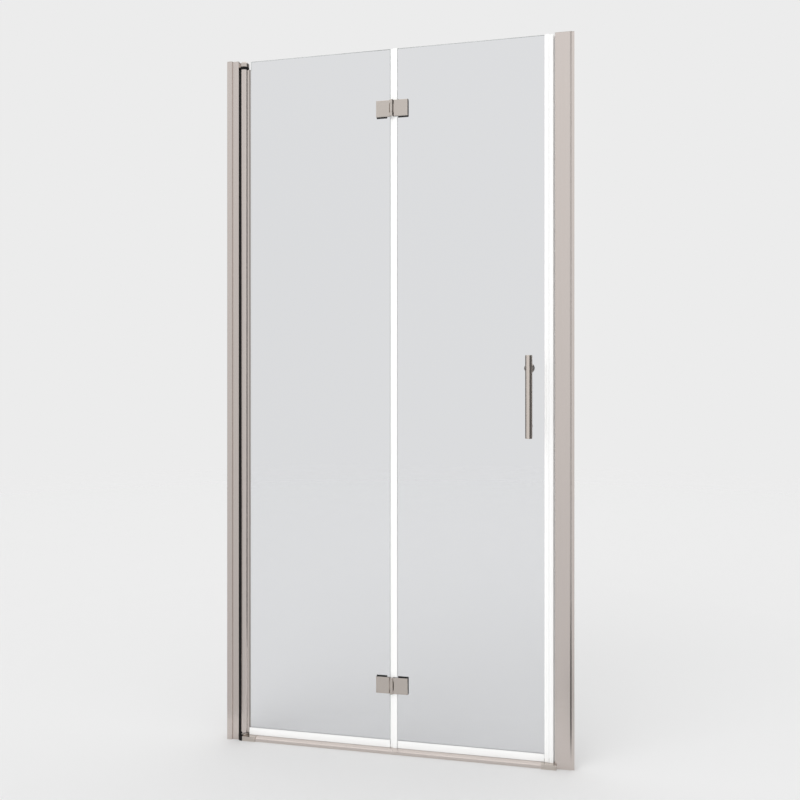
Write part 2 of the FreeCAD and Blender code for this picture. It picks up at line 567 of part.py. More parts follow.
def make_centre_seals():
    """Three lengths of seal on the folding pane, above, between and below the hinges."""
    edge, leg = FOLDING_PANE_EDGE, f"({FOLDING_PANE_EDGE} + centre_leg)"
    web, tip = f"({FOLDING_PANE_EDGE} - centre_web)", f"({PIVOT_PANE_EDGE} + fin_gap)"
    front_half = [(edge, GLASS_FACE), (leg, GLASS_FACE), (leg, SEAL_FACE), (web, SEAL_FACE),
                  (web, "(fin_root / 2)"), (tip, "(fin_tip / 2)")]
    outline = front_half + [(x, minus(y)) for x, y in front_half[::-1]]
    clear = "(hinge_height / 2 + hinge_seal_gap)"
    lengths = {
        "lower": (SEAL_BOTTOM, f"({LOWER_HINGE} - {clear})"),
        "middle": (f"({LOWER_HINGE} + {clear})", f"({UPPER_HINGE} - {clear})"),
        "upper": (f"({UPPER_HINGE} + {clear})", "door_height"),
    }
    for name, span in lengths.items():
        node(extrusion(f"{name}_centre_seal", "XY_Plane", outline, span))


def make_magnet(name, seal, start, span):
    """Cuts the chamber of a magnet strip in a seal, and makes the strip that fills it."""
    place = (start, f"({start} + magnet_thickness)"), both_sides("(magnet_width / 2)"), span
    node(cut(f"{name}_seal", seal, [box(f"{name}_chamber", *place)]))
    node(box(f"{name}_magnet", *place))


def make_closing_seals():
    """The closing seal on the folding pane and the strike seal on the strike jamb, each with its magnet."""
    side = "(magnet_seal_depth / 2)"
    leg, edge, front = f"({CLOSING_PANE_EDGE} - closing_leg)", CLOSING_PANE_EDGE, CLOSING_FRONT
    front_half = [(front, side), (edge, side), (edge, SEAL_FACE), (leg, SEAL_FACE), (leg, GLASS_FACE),
                  (edge, GLASS_FACE)]
    outline = front_half + [(x, minus(y)) for x, y in front_half[::-1]]
    span = (SEAL_BOTTOM, "door_height")
    seal = extrusion("closing_seal_section", "XY_Plane", outline, span)
    make_magnet("closing", seal, f"({CLOSING_FRONT} - magnet_cover - magnet_thickness)", span)
    barb_face = f"({STRIKE_JAMB_FACE} + strike_jamb_wall)"
    barb_end = f"({barb_face} + barb_depth)"
    neck_front, neck_back = (f"(mouth_offset {sign} (seal_mouth / 2 - mouth_gap))" for sign in "-+")
    barb_front, barb_back = (f"(mouth_offset {sign} barb_width / 2)" for sign in "-+")
    outline = [
        (STRIKE_FRONT, minus(side)), (STRIKE_BACK, minus(side)), (STRIKE_BACK, neck_front),
        (barb_face, neck_front), (barb_face, barb_front), (barb_end, barb_front), (barb_end, barb_back),
        (barb_face, barb_back), (barb_face, neck_back), (STRIKE_BACK, neck_back), (STRIKE_BACK, side),
        (STRIKE_FRONT, side),
    ]
    span = (CAP_TOP, PROFILE_TOP)
    seal = extrusion("strike_seal_section", "XY_Plane", outline, span)
    make_magnet("strike", seal, f"({STRIKE_FRONT} + magnet_cover)", span)


def make_right_wall_channel():
    """U-shaped channel on the right wall, with holes for wall screws."""
    side, inner = "(right_channel_depth / 2)", "(right_channel_depth / 2 - right_channel_wall)"
    end, web = f"({RIGHT_WALL} - right_channel_reach)", f"({RIGHT_WALL} - channel_wall)"
    front_half = [(RIGHT_WALL, side), (end, side), (end, inner), (web, inner)]
    outline = front_half + [(x, minus(y)) for x, y in front_half[::-1]]
    body = extrusion("right_channel_section", "XY_Plane", outline, ("0", PROFILE_TOP))
    holes = [rod(f"right_wall_hole_{number}", "wall_hole_radius", "x", (web, RIGHT_WALL), ("0", height))
             for number, height in enumerate(WALL_HOLES)]
    screws = [rod(f"right_flange_hole_{number}", "jamb_screw_radius + tight_fit", "y", (inner, side),
                  (RIGHT_SCREW_X, height)) for number, height in enumerate(JAMB_SCREWS)]
    node(cut("right_wall_channel", body, holes + screws))


def make_strike_jamb():
    """Jamb that slides over the right channel, with a chamber for the strike seal in its closed face."""
    face, side, inner = STRIKE_JAMB_FACE, STRIKE_JAMB_SIDE, "(right_channel_depth / 2)"
    chamber, back = f"({face} + strike_jamb_wall)", f"({face} + strike_jamb_wall + seal_slot)"
    hollow = f"({back} + strike_jamb_wall)"
    mouth_front, mouth_back = (f"(mouth_offset {sign} seal_mouth / 2)" for sign in "-+")
    band, band_side = f"({STRIKE_JAMB_END} - jamb_band)", f"({STRIKE_JAMB_SIDE} - band_fall)"
    side_wall = [(face, side), (band, side), (STRIKE_JAMB_END, band_side), (STRIKE_JAMB_END, inner),
                 (hollow, inner)]
    outline = [(back, inner), (chamber, inner), (chamber, mouth_back), (face, mouth_back)]
    outline += side_wall + [(x, minus(y)) for x, y in side_wall[::-1]]
    outline += [(face, mouth_front), (chamber, mouth_front), (chamber, minus(inner)), (back, minus(inner))]
    body = extrusion("strike_jamb_section", "XY_Plane", outline, ("0", PROFILE_TOP))
    round_upright(body, "profile_edge", [(face, y) for y in both_sides(side)])
    screws = [rod(f"strike_jamb_hole_{number}", "jamb_screw_radius + screw_hole_gap", "y", (inner, side),
                  (RIGHT_SCREW_X, height)) for number, height in enumerate(JAMB_SCREWS)]
    node(cut("strike_jamb", body, screws))


def make_jamb_screws(name, x, face, tip):
    """Adjusting screws on the shower side of a jamb, each under a cover cap."""
    head_top = f"({face} + screw_head_height)"
    shell_top = f"({head_top} + screw_cap_wall)"
    screws, caps = [], []
    for number, height in enumerate(JAMB_SCREWS):
        shank = rod(f"{name}_shank_{number}", "jamb_screw_radius", "y", (tip, face), (x, height))
        head = rod(f"{name}_head_{number}", "screw_head_radius", "y", (face, head_top), (x, height))
        screws.append(fuse(f"{name}_screw_{number}", [shank, head]))
        shell = rod(f"{name}_shell_{number}", "screw_cap_radius", "y", (face, shell_top), (x, height))
        hollow = rod(f"{name}_hollow_{number}", "screw_cap_radius - screw_cap_wall", "y",
                     (face, head_top), (x, height))
        caps.append(cut(f"{name}_cap_{number}", shell, [hollow]))
    node(group(f"{name}_screws", screws))
    node(group(f"{name}_screw_caps", caps))


def make_cover(name, parts, peg_x, peg_side):
    """A cover plate over the top of a jamb and its channel, with a peg in the hollow of the jamb."""
    plate_span = (PROFILE_TOP, "door_height")
    pieces = [box(f"{name}_plate_{number}", x_span, both_sides(side), plate_span)
              for number, (x_span, side) in enumerate(parts)]
    peg_span = (f"({peg_x} - peg_width / 2)", f"({peg_x} + peg_width / 2)")
    peg_height = (f"({PROFILE_TOP} - cover_peg)", PROFILE_TOP)
    pieces.append(box(f"{name}_peg", peg_span, both_sides(peg_side), peg_height))
    node(fuse(name, pieces))


def make_covers():
    """The two top cover plates."""
    left_parts = [((LEFT_WALL, LEFT_CHANNEL_END), LEFT_CHANNEL_SIDE),
                  ((LEFT_CHANNEL_END, PIVOT_JAMB_FACE), PIVOT_JAMB_SIDE)]
    hollow_middle = f"(({LEFT_WALL} + jamb_wall_gap + {PIVOT_JAMB_FACE}) / 2)"
    make_cover("pivot_jamb_cover", left_parts, hollow_middle, f"({PIVOT_JAMB_SIDE} - pivot_jamb_wall)")
    channel_side = "(right_channel_depth / 2)"
    right_parts = [((STRIKE_JAMB_FACE, STRIKE_JAMB_END), STRIKE_JAMB_SIDE),
                   ((STRIKE_JAMB_END, RIGHT_WALL), channel_side)]
    slack_middle = f"({RIGHT_WALL} - right_channel_reach - jamb_slack / 2)"
    make_cover("strike_jamb_cover", right_parts, slack_middle, channel_side)


def make_sill():
    """Hollow sill bar and its end caps, whose tongues plug into the bar."""
    side, shoulder = "(sill_depth / 2)", "(sill_height - sill_fall)"
    top_side = "(sill_depth / 2 - sill_run)"
    outline = [(minus(side), "0"), (side, "0"), (side, shoulder), (top_side, "sill_height"),
               (minus(top_side), "sill_height"), (minus(side), shoulder)]
    bar = extrusion("sill_section", "YZ_Plane", outline, (SILL_LEFT, SILL_RIGHT))
    hollow_side, hollow_top = "(sill_depth / 2 - sill_wall)", f"({shoulder} - sill_wall)"
    hollow = box("sill_hollow", (SILL_LEFT, SILL_RIGHT), both_sides(hollow_side), ("sill_wall", hollow_top))
    node(cut("sill_bar", bar, [hollow]))
    tongue = both_sides(f"({hollow_side} - tongue_gap)"), ("sill_wall", f"({hollow_top} - tongue_gap)")
    make_left_cap(box("left_tongue", (SILL_LEFT, f"({SILL_LEFT} + cap_tongue)"), *tongue))
    make_right_cap(box("right_tongue", (f"{SILL_RIGHT} - cap_tongue", SILL_RIGHT), *tongue))


def chamfer_cap(body, ends):
    """Chamfers the upper edges of an end cap, except at the given ends and where it meets a jamb."""
    top = value(CAP_TOP)
    wall = value(STRIKE_JAMB_SIDE)

    def wanted(edge):
        reach = max(abs(place) for place in span_of(edge, "y"))
        hidden = any(lies_at(edge, x=value(end)) for end in ends)
        return lies_at(edge, z=top) and not hidden and reach > wall + SAME_PLACE

    return dress(body, "Chamfer", "Size", "cap_edge", wanted)


def make_left_cap(tongue):
    """Left sill cap, which carries the bottom pivot block together with the foot of the pivot seal."""
    body = plan_box("left_cap_block", (PIVOT_X, SILL_LEFT), both_sides(CAP_SIDE), ("0", CAP_TOP))
    node(fuse("left_sill_cap", [chamfer_cap(body, [PIVOT_X, SILL_LEFT]), tongue]))


def make_right_cap(tongue):
    """Right sill cap, which wraps the foot of the strike jamb."""
    wrap = f"({STRIKE_JAMB_FACE} + right_cap_wrap)"
    front_half = [(SILL_RIGHT, CAP_SIDE), (wrap, CAP_SIDE), (wrap, STRIKE_JAMB_SIDE),
                  (STRIKE_JAMB_FACE, STRIKE_JAMB_SIDE)]
    outline = front_half + [(x, minus(y)) for x, y in front_half[::-1]]
    body = extrusion("right_cap_block", "XY_Plane", outline, ("0", CAP_TOP))
    round_upright(body, "wrap_corner", [(wrap, y) for y in both_sides(CAP_SIDE)])
    node(fuse("right_sill_cap", [chamfer_cap(body, [SILL_RIGHT]), tongue]))


def leaf_span(sign, near, far):
    """A span along the opening at two distances from the fold axis, on the left (-) or right (+) leaf."""
    places = [f"({FOLD_X} {sign} {distance})" for distance in (near, far)]
    return tuple(places if sign == "+" else places[::-1])


def chamfered_plate(name, x_span, y_span, z_span, outside):
    """A hinge plate with a chamfer round its outside face, at the place given along Y."""
    body = plan_box(name, x_span, y_span, z_span)
    return dress(body, "Chamfer", "Size", "plate_edge", lambda edge: lies_at(edge, y=value(outside)))


def knuckle_spans(height, outer):
    """The heights of one leaf's knuckles: the outer pair or the middle one."""
    middle, end = "middle_knuckle / 2", "hinge_height / 2"
    if not outer:
        return [(f"({height} - {middle})", f"({height} + {middle})")]
    return [(f"({height} - {end})", f"({height} - {middle} - knuckle_space)"),
            (f"({height} + {middle} + knuckle_space)", f"({height} + {end})")]


def make_front_leaf(name, sign, height, outer, places):
    """Room-side hinge plate with its knuckles, threaded for the screws from the shower side."""
    plate_face, plate_back = FOLD_Y, minus(PLATE_SEAT)
    upright = f"({height} - hinge_height / 2)", f"({height} + hinge_height / 2)"
    x_span = leaf_span(sign, "(knuckle_radius + knuckle_gap)", HINGE_REACH[sign])
    pieces = [chamfered_plate(f"{name}_plate", x_span, (plate_face, plate_back), upright, plate_face)]
    web_span = leaf_span(sign, "0", "(knuckle_radius + knuckle_gap + plate_edge)")
    bore_radius = "hinge_pin_radius + tight_fit" if outer else "hinge_pin_radius + pin_fit"
    web_depth = (plate_face if outer else f"({plate_face} + plate_edge)", f"({plate_back} - knuckle_gap)")
    for number, span in enumerate(knuckle_spans(height, outer)):
        pieces.append(rod(f"{name}_knuckle_{number}", "knuckle_radius", "z", span, (FOLD_X, FOLD_Y)))
        pieces.append(box(f"{name}_web_{number}", web_span, web_depth, span))
    bore = rod(f"{name}_bore", bore_radius, "z", upright, (FOLD_X, FOLD_Y))
    bite = (f"{plate_back} - hinge_screw_bite", plate_back)
    threads = [rod(f"{name}_thread_{number}", "hinge_screw_radius + tight_fit", "y", bite, place)
               for number, place in enumerate(places)]
    node(cut(name, fuse(f"{name}_solid", pieces), [bore] + threads))


def make_rear_plate(name, sign, height, places):
    """Inside hinge plate, countersunk for the hinge screws."""
    depth = (PLATE_SEAT, REAR_FACE)
    upright = f"({height} - hinge_height / 2)", f"({height} + hinge_height / 2)"
    x_span = leaf_span(sign, f"({HINGE_REACH[sign]} - rear_plate_width)", HINGE_REACH[sign])
    plate = chamfered_plate(f"{name}_plate", x_span, depth, upright, REAR_FACE)
    hole_radius = "hinge_screw_radius + screw_hole_gap"
    holes = []
    for number, place in enumerate(places):
        holes.append(rod(f"{name}_hole_{number}", hole_radius, "y", depth, place))
        holes.append(taper(f"{name}_countersink_{number}", hole_radius,
                           "countersink_radius + screw_hole_gap", "y", COUNTERSINK, place))
    node(cut(name, plate, holes))


def make_hinge_gaskets(name, sign, height, places):
    """Gaskets on both sides of the pane, under the two plates of one hinge leaf."""
    far = f"({HINGE_REACH[sign]} - gasket_inset)"
    rear_near = f"({HINGE_REACH[sign]} - rear_plate_width + gasket_inset)"
    sides = {"front": ("gasket_near", "- gasket_inset", (minus(PLATE_SEAT), minus(GLASS_FACE))),
             "rear": (rear_near, "+ gasket_lip", (GLASS_FACE, PLATE_SEAT))}
    pads = []
    for side, (near, rim, y_span) in sides.items():
        half = f"(hinge_height / 2 {rim})"
        upright = f"({height} - {half})", f"({height} + {half})"
        sheet = box(f"{name}_{side}_sheet", leaf_span(sign, near, far), y_span, upright)
        holes = [rod(f"{name}_{side}_hole_{number}", "hinge_screw_radius + screw_hole_gap", "y", y_span,
                     place) for number, place in enumerate(places)]
        pads.append(cut(f"{name}_{side}_pad", sheet, holes))
    node(group(name, pads))


def make_hinge_screws(name, places):
    """Countersunk screws from the inside plate through the pane into the room-side plate."""
    tip = minus(f"({PLATE_SEAT} + hinge_screw_bite)")
    screws = []
    for number, place in enumerate(places):
        shank = rod(f"{name}_shank_{number}", "hinge_screw_radius", "y", (tip, REAR_FACE), place)
        head = taper(f"{name}_head_{number}", "hinge_screw_radius", "countersink_radius", "y",
                     COUNTERSINK, place)
        screws.append(fuse(f"{name}_{number}", [shank, head]))
    node(group(name, screws))


def make_hinges():
    """Two equal hinges; the lower one is turned over, so its outer knuckles belong to the folding leaf."""
    outer_leaf = {"upper": "pivot", "lower": "folding"}
    for hinge, height in (("upper", UPPER_HINGE), ("lower", LOWER_HINGE)):
        for leaf, sign in (("pivot", "-"), ("folding", "+")):
            places = hinge_screw_places(sign)[hinge]
            make_front_leaf(f"{hinge}_hinge_{leaf}_leaf", sign, height, outer_leaf[hinge] == leaf, places)
            make_rear_plate(f"{hinge}_hinge_{leaf}_plate", sign, height, places)
            make_hinge_gaskets(f"{hinge}_hinge_{leaf}_gaskets", sign, height, places)
            make_hinge_screws(f"{hinge}_hinge_{leaf}_screws", places)
        pin_span = (f"({height} - hinge_height / 2)", f"({height} + hinge_height / 2)")
        node(rod(f"{hinge}_hinge_pin", "hinge_pin_radius", "z", pin_span, (FOLD_X, FOLD_Y)))


def revolved_knob(name, outline, x, z):
    """A body turned about Y from an outline of (radius, depth) places."""
    body = doc.addObject("PartDesign::Body", name)
    turn = body.newObject("PartDesign::Revolution", f"{name}_turn")
    sketch = outline_sketch(body, "XY_Plane", outline)
    turn.Profile = sketch
    turn.ReferenceAxis = (sketch, ["V_Axis"])
    turn.Angle = 360
    bind(body, "Placement.Base.x", x)
    bind(body, "Placement.Base.z", z)
    return body


def make_handle_bar():
    """Round bar on the room side, with its two posts hollowed to the round of the bar."""
    bar_span = ("(handle_height - bar_length / 2)", "(handle_height + bar_length / 2)")
    body = doc.addObject("PartDesign::Body", "handle_bar")
    sketch = body.newObject("Sketcher::SketchObject", "bar_outline")
    support = next(item for item in body.Origin.OriginFeatures if item.Role == "XY_Plane")
    sketch.AttachmentSupport = [(support, "")]
    sketch.MapMode = "FlatFace"
    sketch.addGeometry(Part.Circle(Vector(), AXES["z"], value("bar_radius")), False)
    sketch.addConstraint(Sketcher.Constraint("Coincident", 0, 3, -1, 1))
    number = sketch.addConstraint(Sketcher.Constraint("Radius", 0, value("bar_radius")))
    bind(sketch, f"Constraints[{number}]", "bar_radius")
    pad = body.newObject("PartDesign::Pad", "bar_pad")
    pad.Profile = sketch
    bind(pad, "Length", "bar_length")
    dress(body, "Fillet", "Radius", "bar_edge", lambda edge: len(edge.Vertexes) == 1)
    for axis, place in zip("xyz", (HANDLE_X, BAR_Y, bar_span[0])):
        bind(body, f"Placement.Base.{axis}", place)
    node(body)
    seat = minus(WASHER_FACE)
    bite = (f"({seat} - stud_bite)", seat)
    posts = []
    for name, height in (("upper", UPPER_FIXING), ("lower", LOWER_FIXING)):
        centre = (HANDLE_X, height)
        post = rod(f"{name}_post_rod", "post_radius", "y", (BAR_Y, seat), centre)
        saddle = rod(f"{name}_post_saddle", "bar_radius + tight_fit", "z", bar_span, (HANDLE_X, BAR_Y))
        thread = rod(f"{name}_post_thread", "stud_radius + tight_fit", "y", bite, centre)
        posts.append(cut(f"{name}_post", post, [saddle, thread]))
    node(group("handle_posts", posts))


def make_handle_inside():
    """Washers, studs and the inside knob and cap that clamp the handle to the pane."""
    sides = {"outer": (minus(WASHER_FACE), minus(GLASS_FACE)), "inner": (GLASS_FACE, WASHER_FACE)}
    fixings = {"upper": (HANDLE_X, UPPER_FIXING), "lower": (HANDLE_X, LOWER_FIXING)}
    for side, span in sides.items():
        washers = []
        for name, centre in fixings.items():
            disc = rod(f"{side}_{name}_disc", "post_radius", "y", span, centre)
            hole = rod(f"{side}_{name}_hole", "stud_radius + screw_hole_gap", "y", span, centre)
            washers.append(cut(f"{side}_{name}_washer", disc, [hole]))
        node(group(f"{side}_washers", washers))
    thread, thread_end = "(stud_radius + tight_fit)", f"({WASHER_FACE} + stud_inside)"
    stud_span = (minus(f"({WASHER_FACE} + stud_bite)"), thread_end)
    node(group("handle_studs", [rod(f"{name}_stud", "stud_radius", "y", stud_span, centre)
                                for name, centre in fixings.items()]))
    neck_end = f"({WASHER_FACE} + knob_neck)"
    flare_end = f"({neck_end} + knob_flare)"
    rim_end = f"({flare_end} + knob_rim)"
    hollow = [("0", thread_end), (thread, thread_end), (thread, WASHER_FACE)]
    knob = hollow + [
        ("knob_stem", WASHER_FACE), ("knob_stem", neck_end), ("knob_radius", flare_end),
        ("knob_radius", f"({rim_end} - knob_edge)"), ("(knob_radius - knob_edge)", rim_end), ("0", rim_end)]
    node(revolved_knob("inside_knob", knob, *fixings["upper"]))
    cap_end = f"({WASHER_FACE} + end_cap_depth)"
    cap = hollow + [
        ("end_cap_radius", WASHER_FACE), ("end_cap_radius", f"({cap_end} - knob_edge)"),
        ("(end_cap_radius - knob_edge)", cap_end), ("0", cap_end)]
    node(revolved_knob("inside_cap", cap, *fixings["lower"]))


def check_and_export():
    """Stops on any failed object or bad shape, then writes each sub-part."""
    doc.recompute()
    failed = [item.Name for item in doc.Objects if {"Invalid", "Error"} & set(item.State)]
    bad = [item.Label for item in nodes if item.Shape.isNull() or not item.Shape.isValid()]
    if failed or bad:
        raise RuntimeError(f"failed objects {failed}, bad shapes {bad}")
    os.makedirs("parts", exist_ok=True)
    for item in nodes:
        item.Shape.exportStep(f"parts/{item.Label}.step")
    print(len(nodes), "sub-parts written")


make_sheet()
make_left_wall_channel()
make_pivot_jamb()
make_jamb_screws("pivot_jamb", LEFT_SCREW_X, LEFT_CHANNEL_SIDE,
                 f"({PIVOT_JAMB_SIDE} - pivot_jamb_wall - jamb_screw_tip)")
make_pivot_seal()
make_pivot_ends()
make_right_wall_channel()
make_strike_jamb()
make_jamb_screws("strike_jamb", RIGHT_SCREW_X, STRIKE_JAMB_SIDE,
                 "(right_channel_depth / 2 - right_channel_wall - jamb_screw_tip)")
make_covers()
make_sill()
make_pivot_stile()
make_panes()
make_bottom_seal("pivot_bottom_seal", (f"({JAW_END} + seal_end_gap)", PIVOT_PANE_EDGE))
make_bottom_seal("folding_bottom_seal", (f"({FOLDING_PANE_EDGE} + centre_leg + seal_end_gap)",
                                         f"({CLOSING_PANE_EDGE} - closing_leg - seal_end_gap)"))
make_centre_seals()
make_closing_seals()
make_hinges()
make_handle_bar()
make_handle_inside()
check_and_export()
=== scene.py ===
import json
import math

import bmesh
import bpy
from mathutils import Matrix, Vector


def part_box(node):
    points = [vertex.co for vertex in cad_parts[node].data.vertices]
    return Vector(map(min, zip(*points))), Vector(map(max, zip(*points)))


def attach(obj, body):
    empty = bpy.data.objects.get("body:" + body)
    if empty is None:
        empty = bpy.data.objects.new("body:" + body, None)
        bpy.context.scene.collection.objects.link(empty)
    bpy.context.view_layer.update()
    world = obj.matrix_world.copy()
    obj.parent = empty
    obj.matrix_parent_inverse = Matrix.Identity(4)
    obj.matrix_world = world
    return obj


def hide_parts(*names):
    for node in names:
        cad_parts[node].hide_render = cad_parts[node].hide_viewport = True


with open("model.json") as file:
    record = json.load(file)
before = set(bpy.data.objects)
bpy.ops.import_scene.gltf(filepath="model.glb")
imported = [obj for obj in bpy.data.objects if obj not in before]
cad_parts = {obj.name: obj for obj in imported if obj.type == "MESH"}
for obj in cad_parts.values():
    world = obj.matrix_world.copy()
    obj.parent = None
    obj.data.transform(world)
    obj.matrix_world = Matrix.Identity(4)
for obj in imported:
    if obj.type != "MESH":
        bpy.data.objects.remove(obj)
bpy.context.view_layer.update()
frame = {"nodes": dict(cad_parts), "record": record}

bl_info = {
    "name": "Folding shower door",
    "version": (1, 0, 0),
    "blender": (4, 5, 0),
    "location": "3D View > Sidebar > Shower door",
    "description": "Dresses the packed shower door with glass, seals, screws, finishes and a studio",
    "category": "Object",
}

MM = 0.001
BODY_OF = {node: body for body, nodes in frame["record"]["behaviour"]["bodies"].items() for node in nodes}
SLOT_OF = {part["node"]: part["material_slot"] for part in frame["record"]["subparts"]}

# Mesh fineness
BEVEL_STEPS = 1
CORNER_STEPS = 4
DOME_STEPS = 8
TURN_STEPS = 48
HOLE_STEPS = 32
HEXAGON = 6
SHARP_ANGLE = math.radians(32)
FLAT_ANGLE = math.radians(8)
STRAIGHT_ANGLE = math.radians(178)
WELD = 0.001 * MM
# The most of a side that the rounding of one corner takes
CORNER_SHARE = 0.48

# How an outline drawn on a flat sheet, and swept along the sheet's normal, lies in the door's own frame
SWEEP_FRAMES = {
    "x": Matrix(((0, 0, 1, 0), (1, 0, 0, 0), (0, 1, 0, 0), (0, 0, 0, 1))),
    "y": Matrix(((1, 0, 0, 0), (0, 0, -1, 0), (0, 1, 0, 0), (0, 0, 0, 1))),
    "z": Matrix.Identity(4),
}

HINGES = ("upper", "lower")
LEAVES = ("pivot", "folding")
# The handle's own finish is the fittings' nickel plate made lighter, a painted highlight
NODE_FINISHES = {"sill_bar": "sill", "handle_bar": "handle", "handle_posts": "handle"}
CENTRE_SEALS = ("lower_centre_seal", "middle_centre_seal", "upper_centre_seal")
BOTTOM_SEALS = ("pivot_bottom_seal", "folding_bottom_seal")

# The sRGB curve: a channel's full shade, the top and the slope of the straight foot, and the bend above
FULL_SHADE = 255
FOOT_TOP = 0.04045
FOOT_SLOPE = 12.92
CURVE_OFFSET = 0.055
CURVE_POWER = 2.4

WHITE = (1.0, 1.0, 1.0, 1.0)

# Grain of the materials: its finer layers, how strong they are, and how firmly they press into the surface
GRAIN_LAYERS = 4.0
GRAIN_FINENESS = 0.6
GRAIN_PRESS = 0.5
# Refraction of the glass and of the moulded and extruded materials
GLASS_IOR = 1.52
PVC_IOR = 1.53
ABS_IOR = 1.53
FERRITE_IOR = 1.5
# The black materials are dull, and mirror less than their refraction gives
DULL_RUBBER = {"IOR": 1.52, "Specular IOR Level": 0.2}
DULL_ACETAL = {"IOR": 1.48, "Specular IOR Level": 0.2}

# Camera of the photograph: the eye in metres, its turn to the left, the lens on a 36 mm film, and the shift
# of the frame upwards, as a share of its width
EYE = (0.4415, -2.1142, 1.0103)
EYE_TURN = math.radians(11.352)
LENS = 34.15
FRAME_SHIFT = -0.0039

# What polished metal sees round the studio: bearing in degrees from the room side, + to the right, and
# level. A soft lamp fills the upper left, and a pale ceiling hangs over all. Each starts between two
# heights, given as sines of the angle above the horizon.
HALF_TURN = 180
DIM = 0.12
FRONT = 0.45
BACK = 0.3
LAMP = 1.1
OVERHEAD = 1.25
LEFT_BACK = ((-HALF_TURN, BACK), (-128, BACK))
RIGHT_SIDE = ((14, FRONT), (24, DIM), (112, DIM), (128, BACK), (HALF_TURN, BACK))
ROOM = LEFT_BACK + ((-112, DIM), (-90, DIM), (-70, FRONT)) + RIGHT_SIDE
UPPER_ROOM = LEFT_BACK + ((-112, LAMP), (-45, LAMP), (-30, FRONT)) + RIGHT_SIDE
CEILING = (OVERHEAD, OVERHEAD, OVERHEAD, 1.0)
UPPER_START = (0.18, 0.36)
CEILING_START = (0.6, 0.75)
# Polished metal sees the pale floor in front of the door. To the left, to the right and behind the glass
# the floor grows as dim as the room between these two places on an axis. Further back it grows pale
# again, and lights the shower side.
DIM_FLOOR = (("X", -0.57, -0.7), ("X", 0.51, 0.57), ("Y", 0.1, 0.3))
LIT_BEHIND = (0.6, 0.9)
# The share of its reach at which the floor starts to fade into the backdrop
FADE_START = 0.25
# The white card that metal sees in front of the door: its left edge, its fold and its right edge, its
# height, its level at the middle of its foot, and how much that grows per metre to the right and upwards
CARD_LINE = ((-0.66, -0.15), (0.40, -0.33), (1.26, -2.1))
CARD_HEIGHT = 2.9
CARD_LEVEL = 0.70
CARD_RISE = (0.09, 0.0, 0.095)
# The way that the light of the soft lamp goes, and how wide the lamp looks
KEY_WAY = (0.35, 0.8, -0.5)
KEY_SPREAD = math.radians(60)


def linear(code):
    """An sRGB hex code as linear red, green, blue and alpha."""
    shares = [int(code[place:place + 2], 16) / FULL_SHADE for place in (0, 2, 4)]
    bent = [((share + CURVE_OFFSET) / (1 + CURVE_OFFSET)) ** CURVE_POWER for share in shares]
    foot = [share / FOOT_SLOPE for share in shares]
    return [low if share <= FOOT_TOP else high for share, low, high in zip(shares, foot, bent)] + [1.0]


def length(name, description, millimetres):
    """A length that the user can change, in metres as Blender holds it."""
    return bpy.props.FloatProperty(name=name, description=description, default=millimetres * MM, min=0.0,
                                   precision=5, unit="LENGTH")


def colour(name, description, code):
    """A colour that the user can change, from an sRGB hex code."""
    return bpy.props.FloatVectorProperty(name=name, description=description, default=linear(code), size=4,
                                         min=0.0, max=1.0, subtype="COLOR")


class ShowerDoorSizes(bpy.types.PropertyGroup):
    """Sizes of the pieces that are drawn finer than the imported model."""
    glass_arris: length("Glass arris", "Ground bevel round the panes and their holes", 0.8)
    glass_hole: length("Glass hole radius", "Holes for the hinge screws and the handle studs", 6)
    notch_gap: length("Notch gap", "Top pivot block to the pane notched beside it", 8)
    notch_drop: length("Notch drop", "Notch below the top of the stile", 1)
    seal_wall: length("Seal wall", "Legs of the seals on the glass", 1.5)
    seal_round: length("Seal rounding", "Corners of the soft seals", 0.7)
    seal_body: length("Strike seal body", "Strike seal along the opening", 11.4)
    seal_neck: length("Strike seal neck", "Neck of the strike seal in the mouth of the jamb", 2.2)
    seal_barb: length("Strike seal barb", "Width of its head inside the jamb", 8)
    mouth_offset: length("Mouth offset", "Strike seal neck behind the middle of the glass", 4)
    mouth_wall: length("Mouth wall", "Wall of the jamb behind which the barb holds", 2)
    fin_root: length("Fin root", "Centre seal fin where it leaves the web", 5)
    fin_tip: length("Fin tip", "Centre seal fin at its tip", 2.4)
    seal_web: length("Seal web", "Centre seal at the glass edge", 1.5)
    seal_shoulder: length("Bottom seal shoulder", "Bottom seal body above its fin", 2.5)
    sweep_root: length("Sweep root", "Bottom fin at its root", 4)
    sweep_tip: length("Sweep tip", "Bottom fin at its tip", 1.6)
    drip_reach: length("Drip lip reach", "Drip lip beyond the seal leg", 4)
    drip_wall: length("Drip lip wall", "Thickness of the drip lip", 1.2)
    block_ease: length("Block edge", "Eased edges of the pivot blocks", 0.8)
    block_neck: length("Block neck", "Pivot blocks at the jamb, front to back", 15)
    neck_drop: length("Neck drop", "Neck of the top pivot block below its nose", 6)
    nose_bevel: length("Nose bevel", "Bevel round the top of the upper nose, inwards", 5)
    nose_slope: length("Nose slope", "Bevel round the top of the upper nose, downwards", 5)
    cover_ease: length("Cover edge", "Eased edges of the cover plates", 0.3)
    cover_corner: length("Cover corner", "Corners of the cover plates", 1.2)
    cover_thickness: length("Cover plate", "Thickness of the cover plates", 1.5)
    socket_across: length("Socket", "Hexagon socket of the hinge screws, across flats", 4)
    socket_depth: length("Socket depth", "Depth of the hexagon socket", 2.2)
    screw_edge: length("Screw edge", "Broken edge of the screw heads", 0.3)
    screw_core: length("Screw shank", "Radius of the hinge screw shank", 3)
    knob_round: length("Knob rounding", "Turned edges of the inside knob and cap", 2.4)
    knob_stem: length("Knob stem", "Neck radius of the inside knob", 8)
    knob_neck: length("Knob neck", "Neck length of the inside knob", 10)
    knob_flare: length("Knob flare", "Cone between the neck and the rim", 6)
    dome_edge: length("Cap edge", "Upright edge of the screw caps below their dome", 1.2)


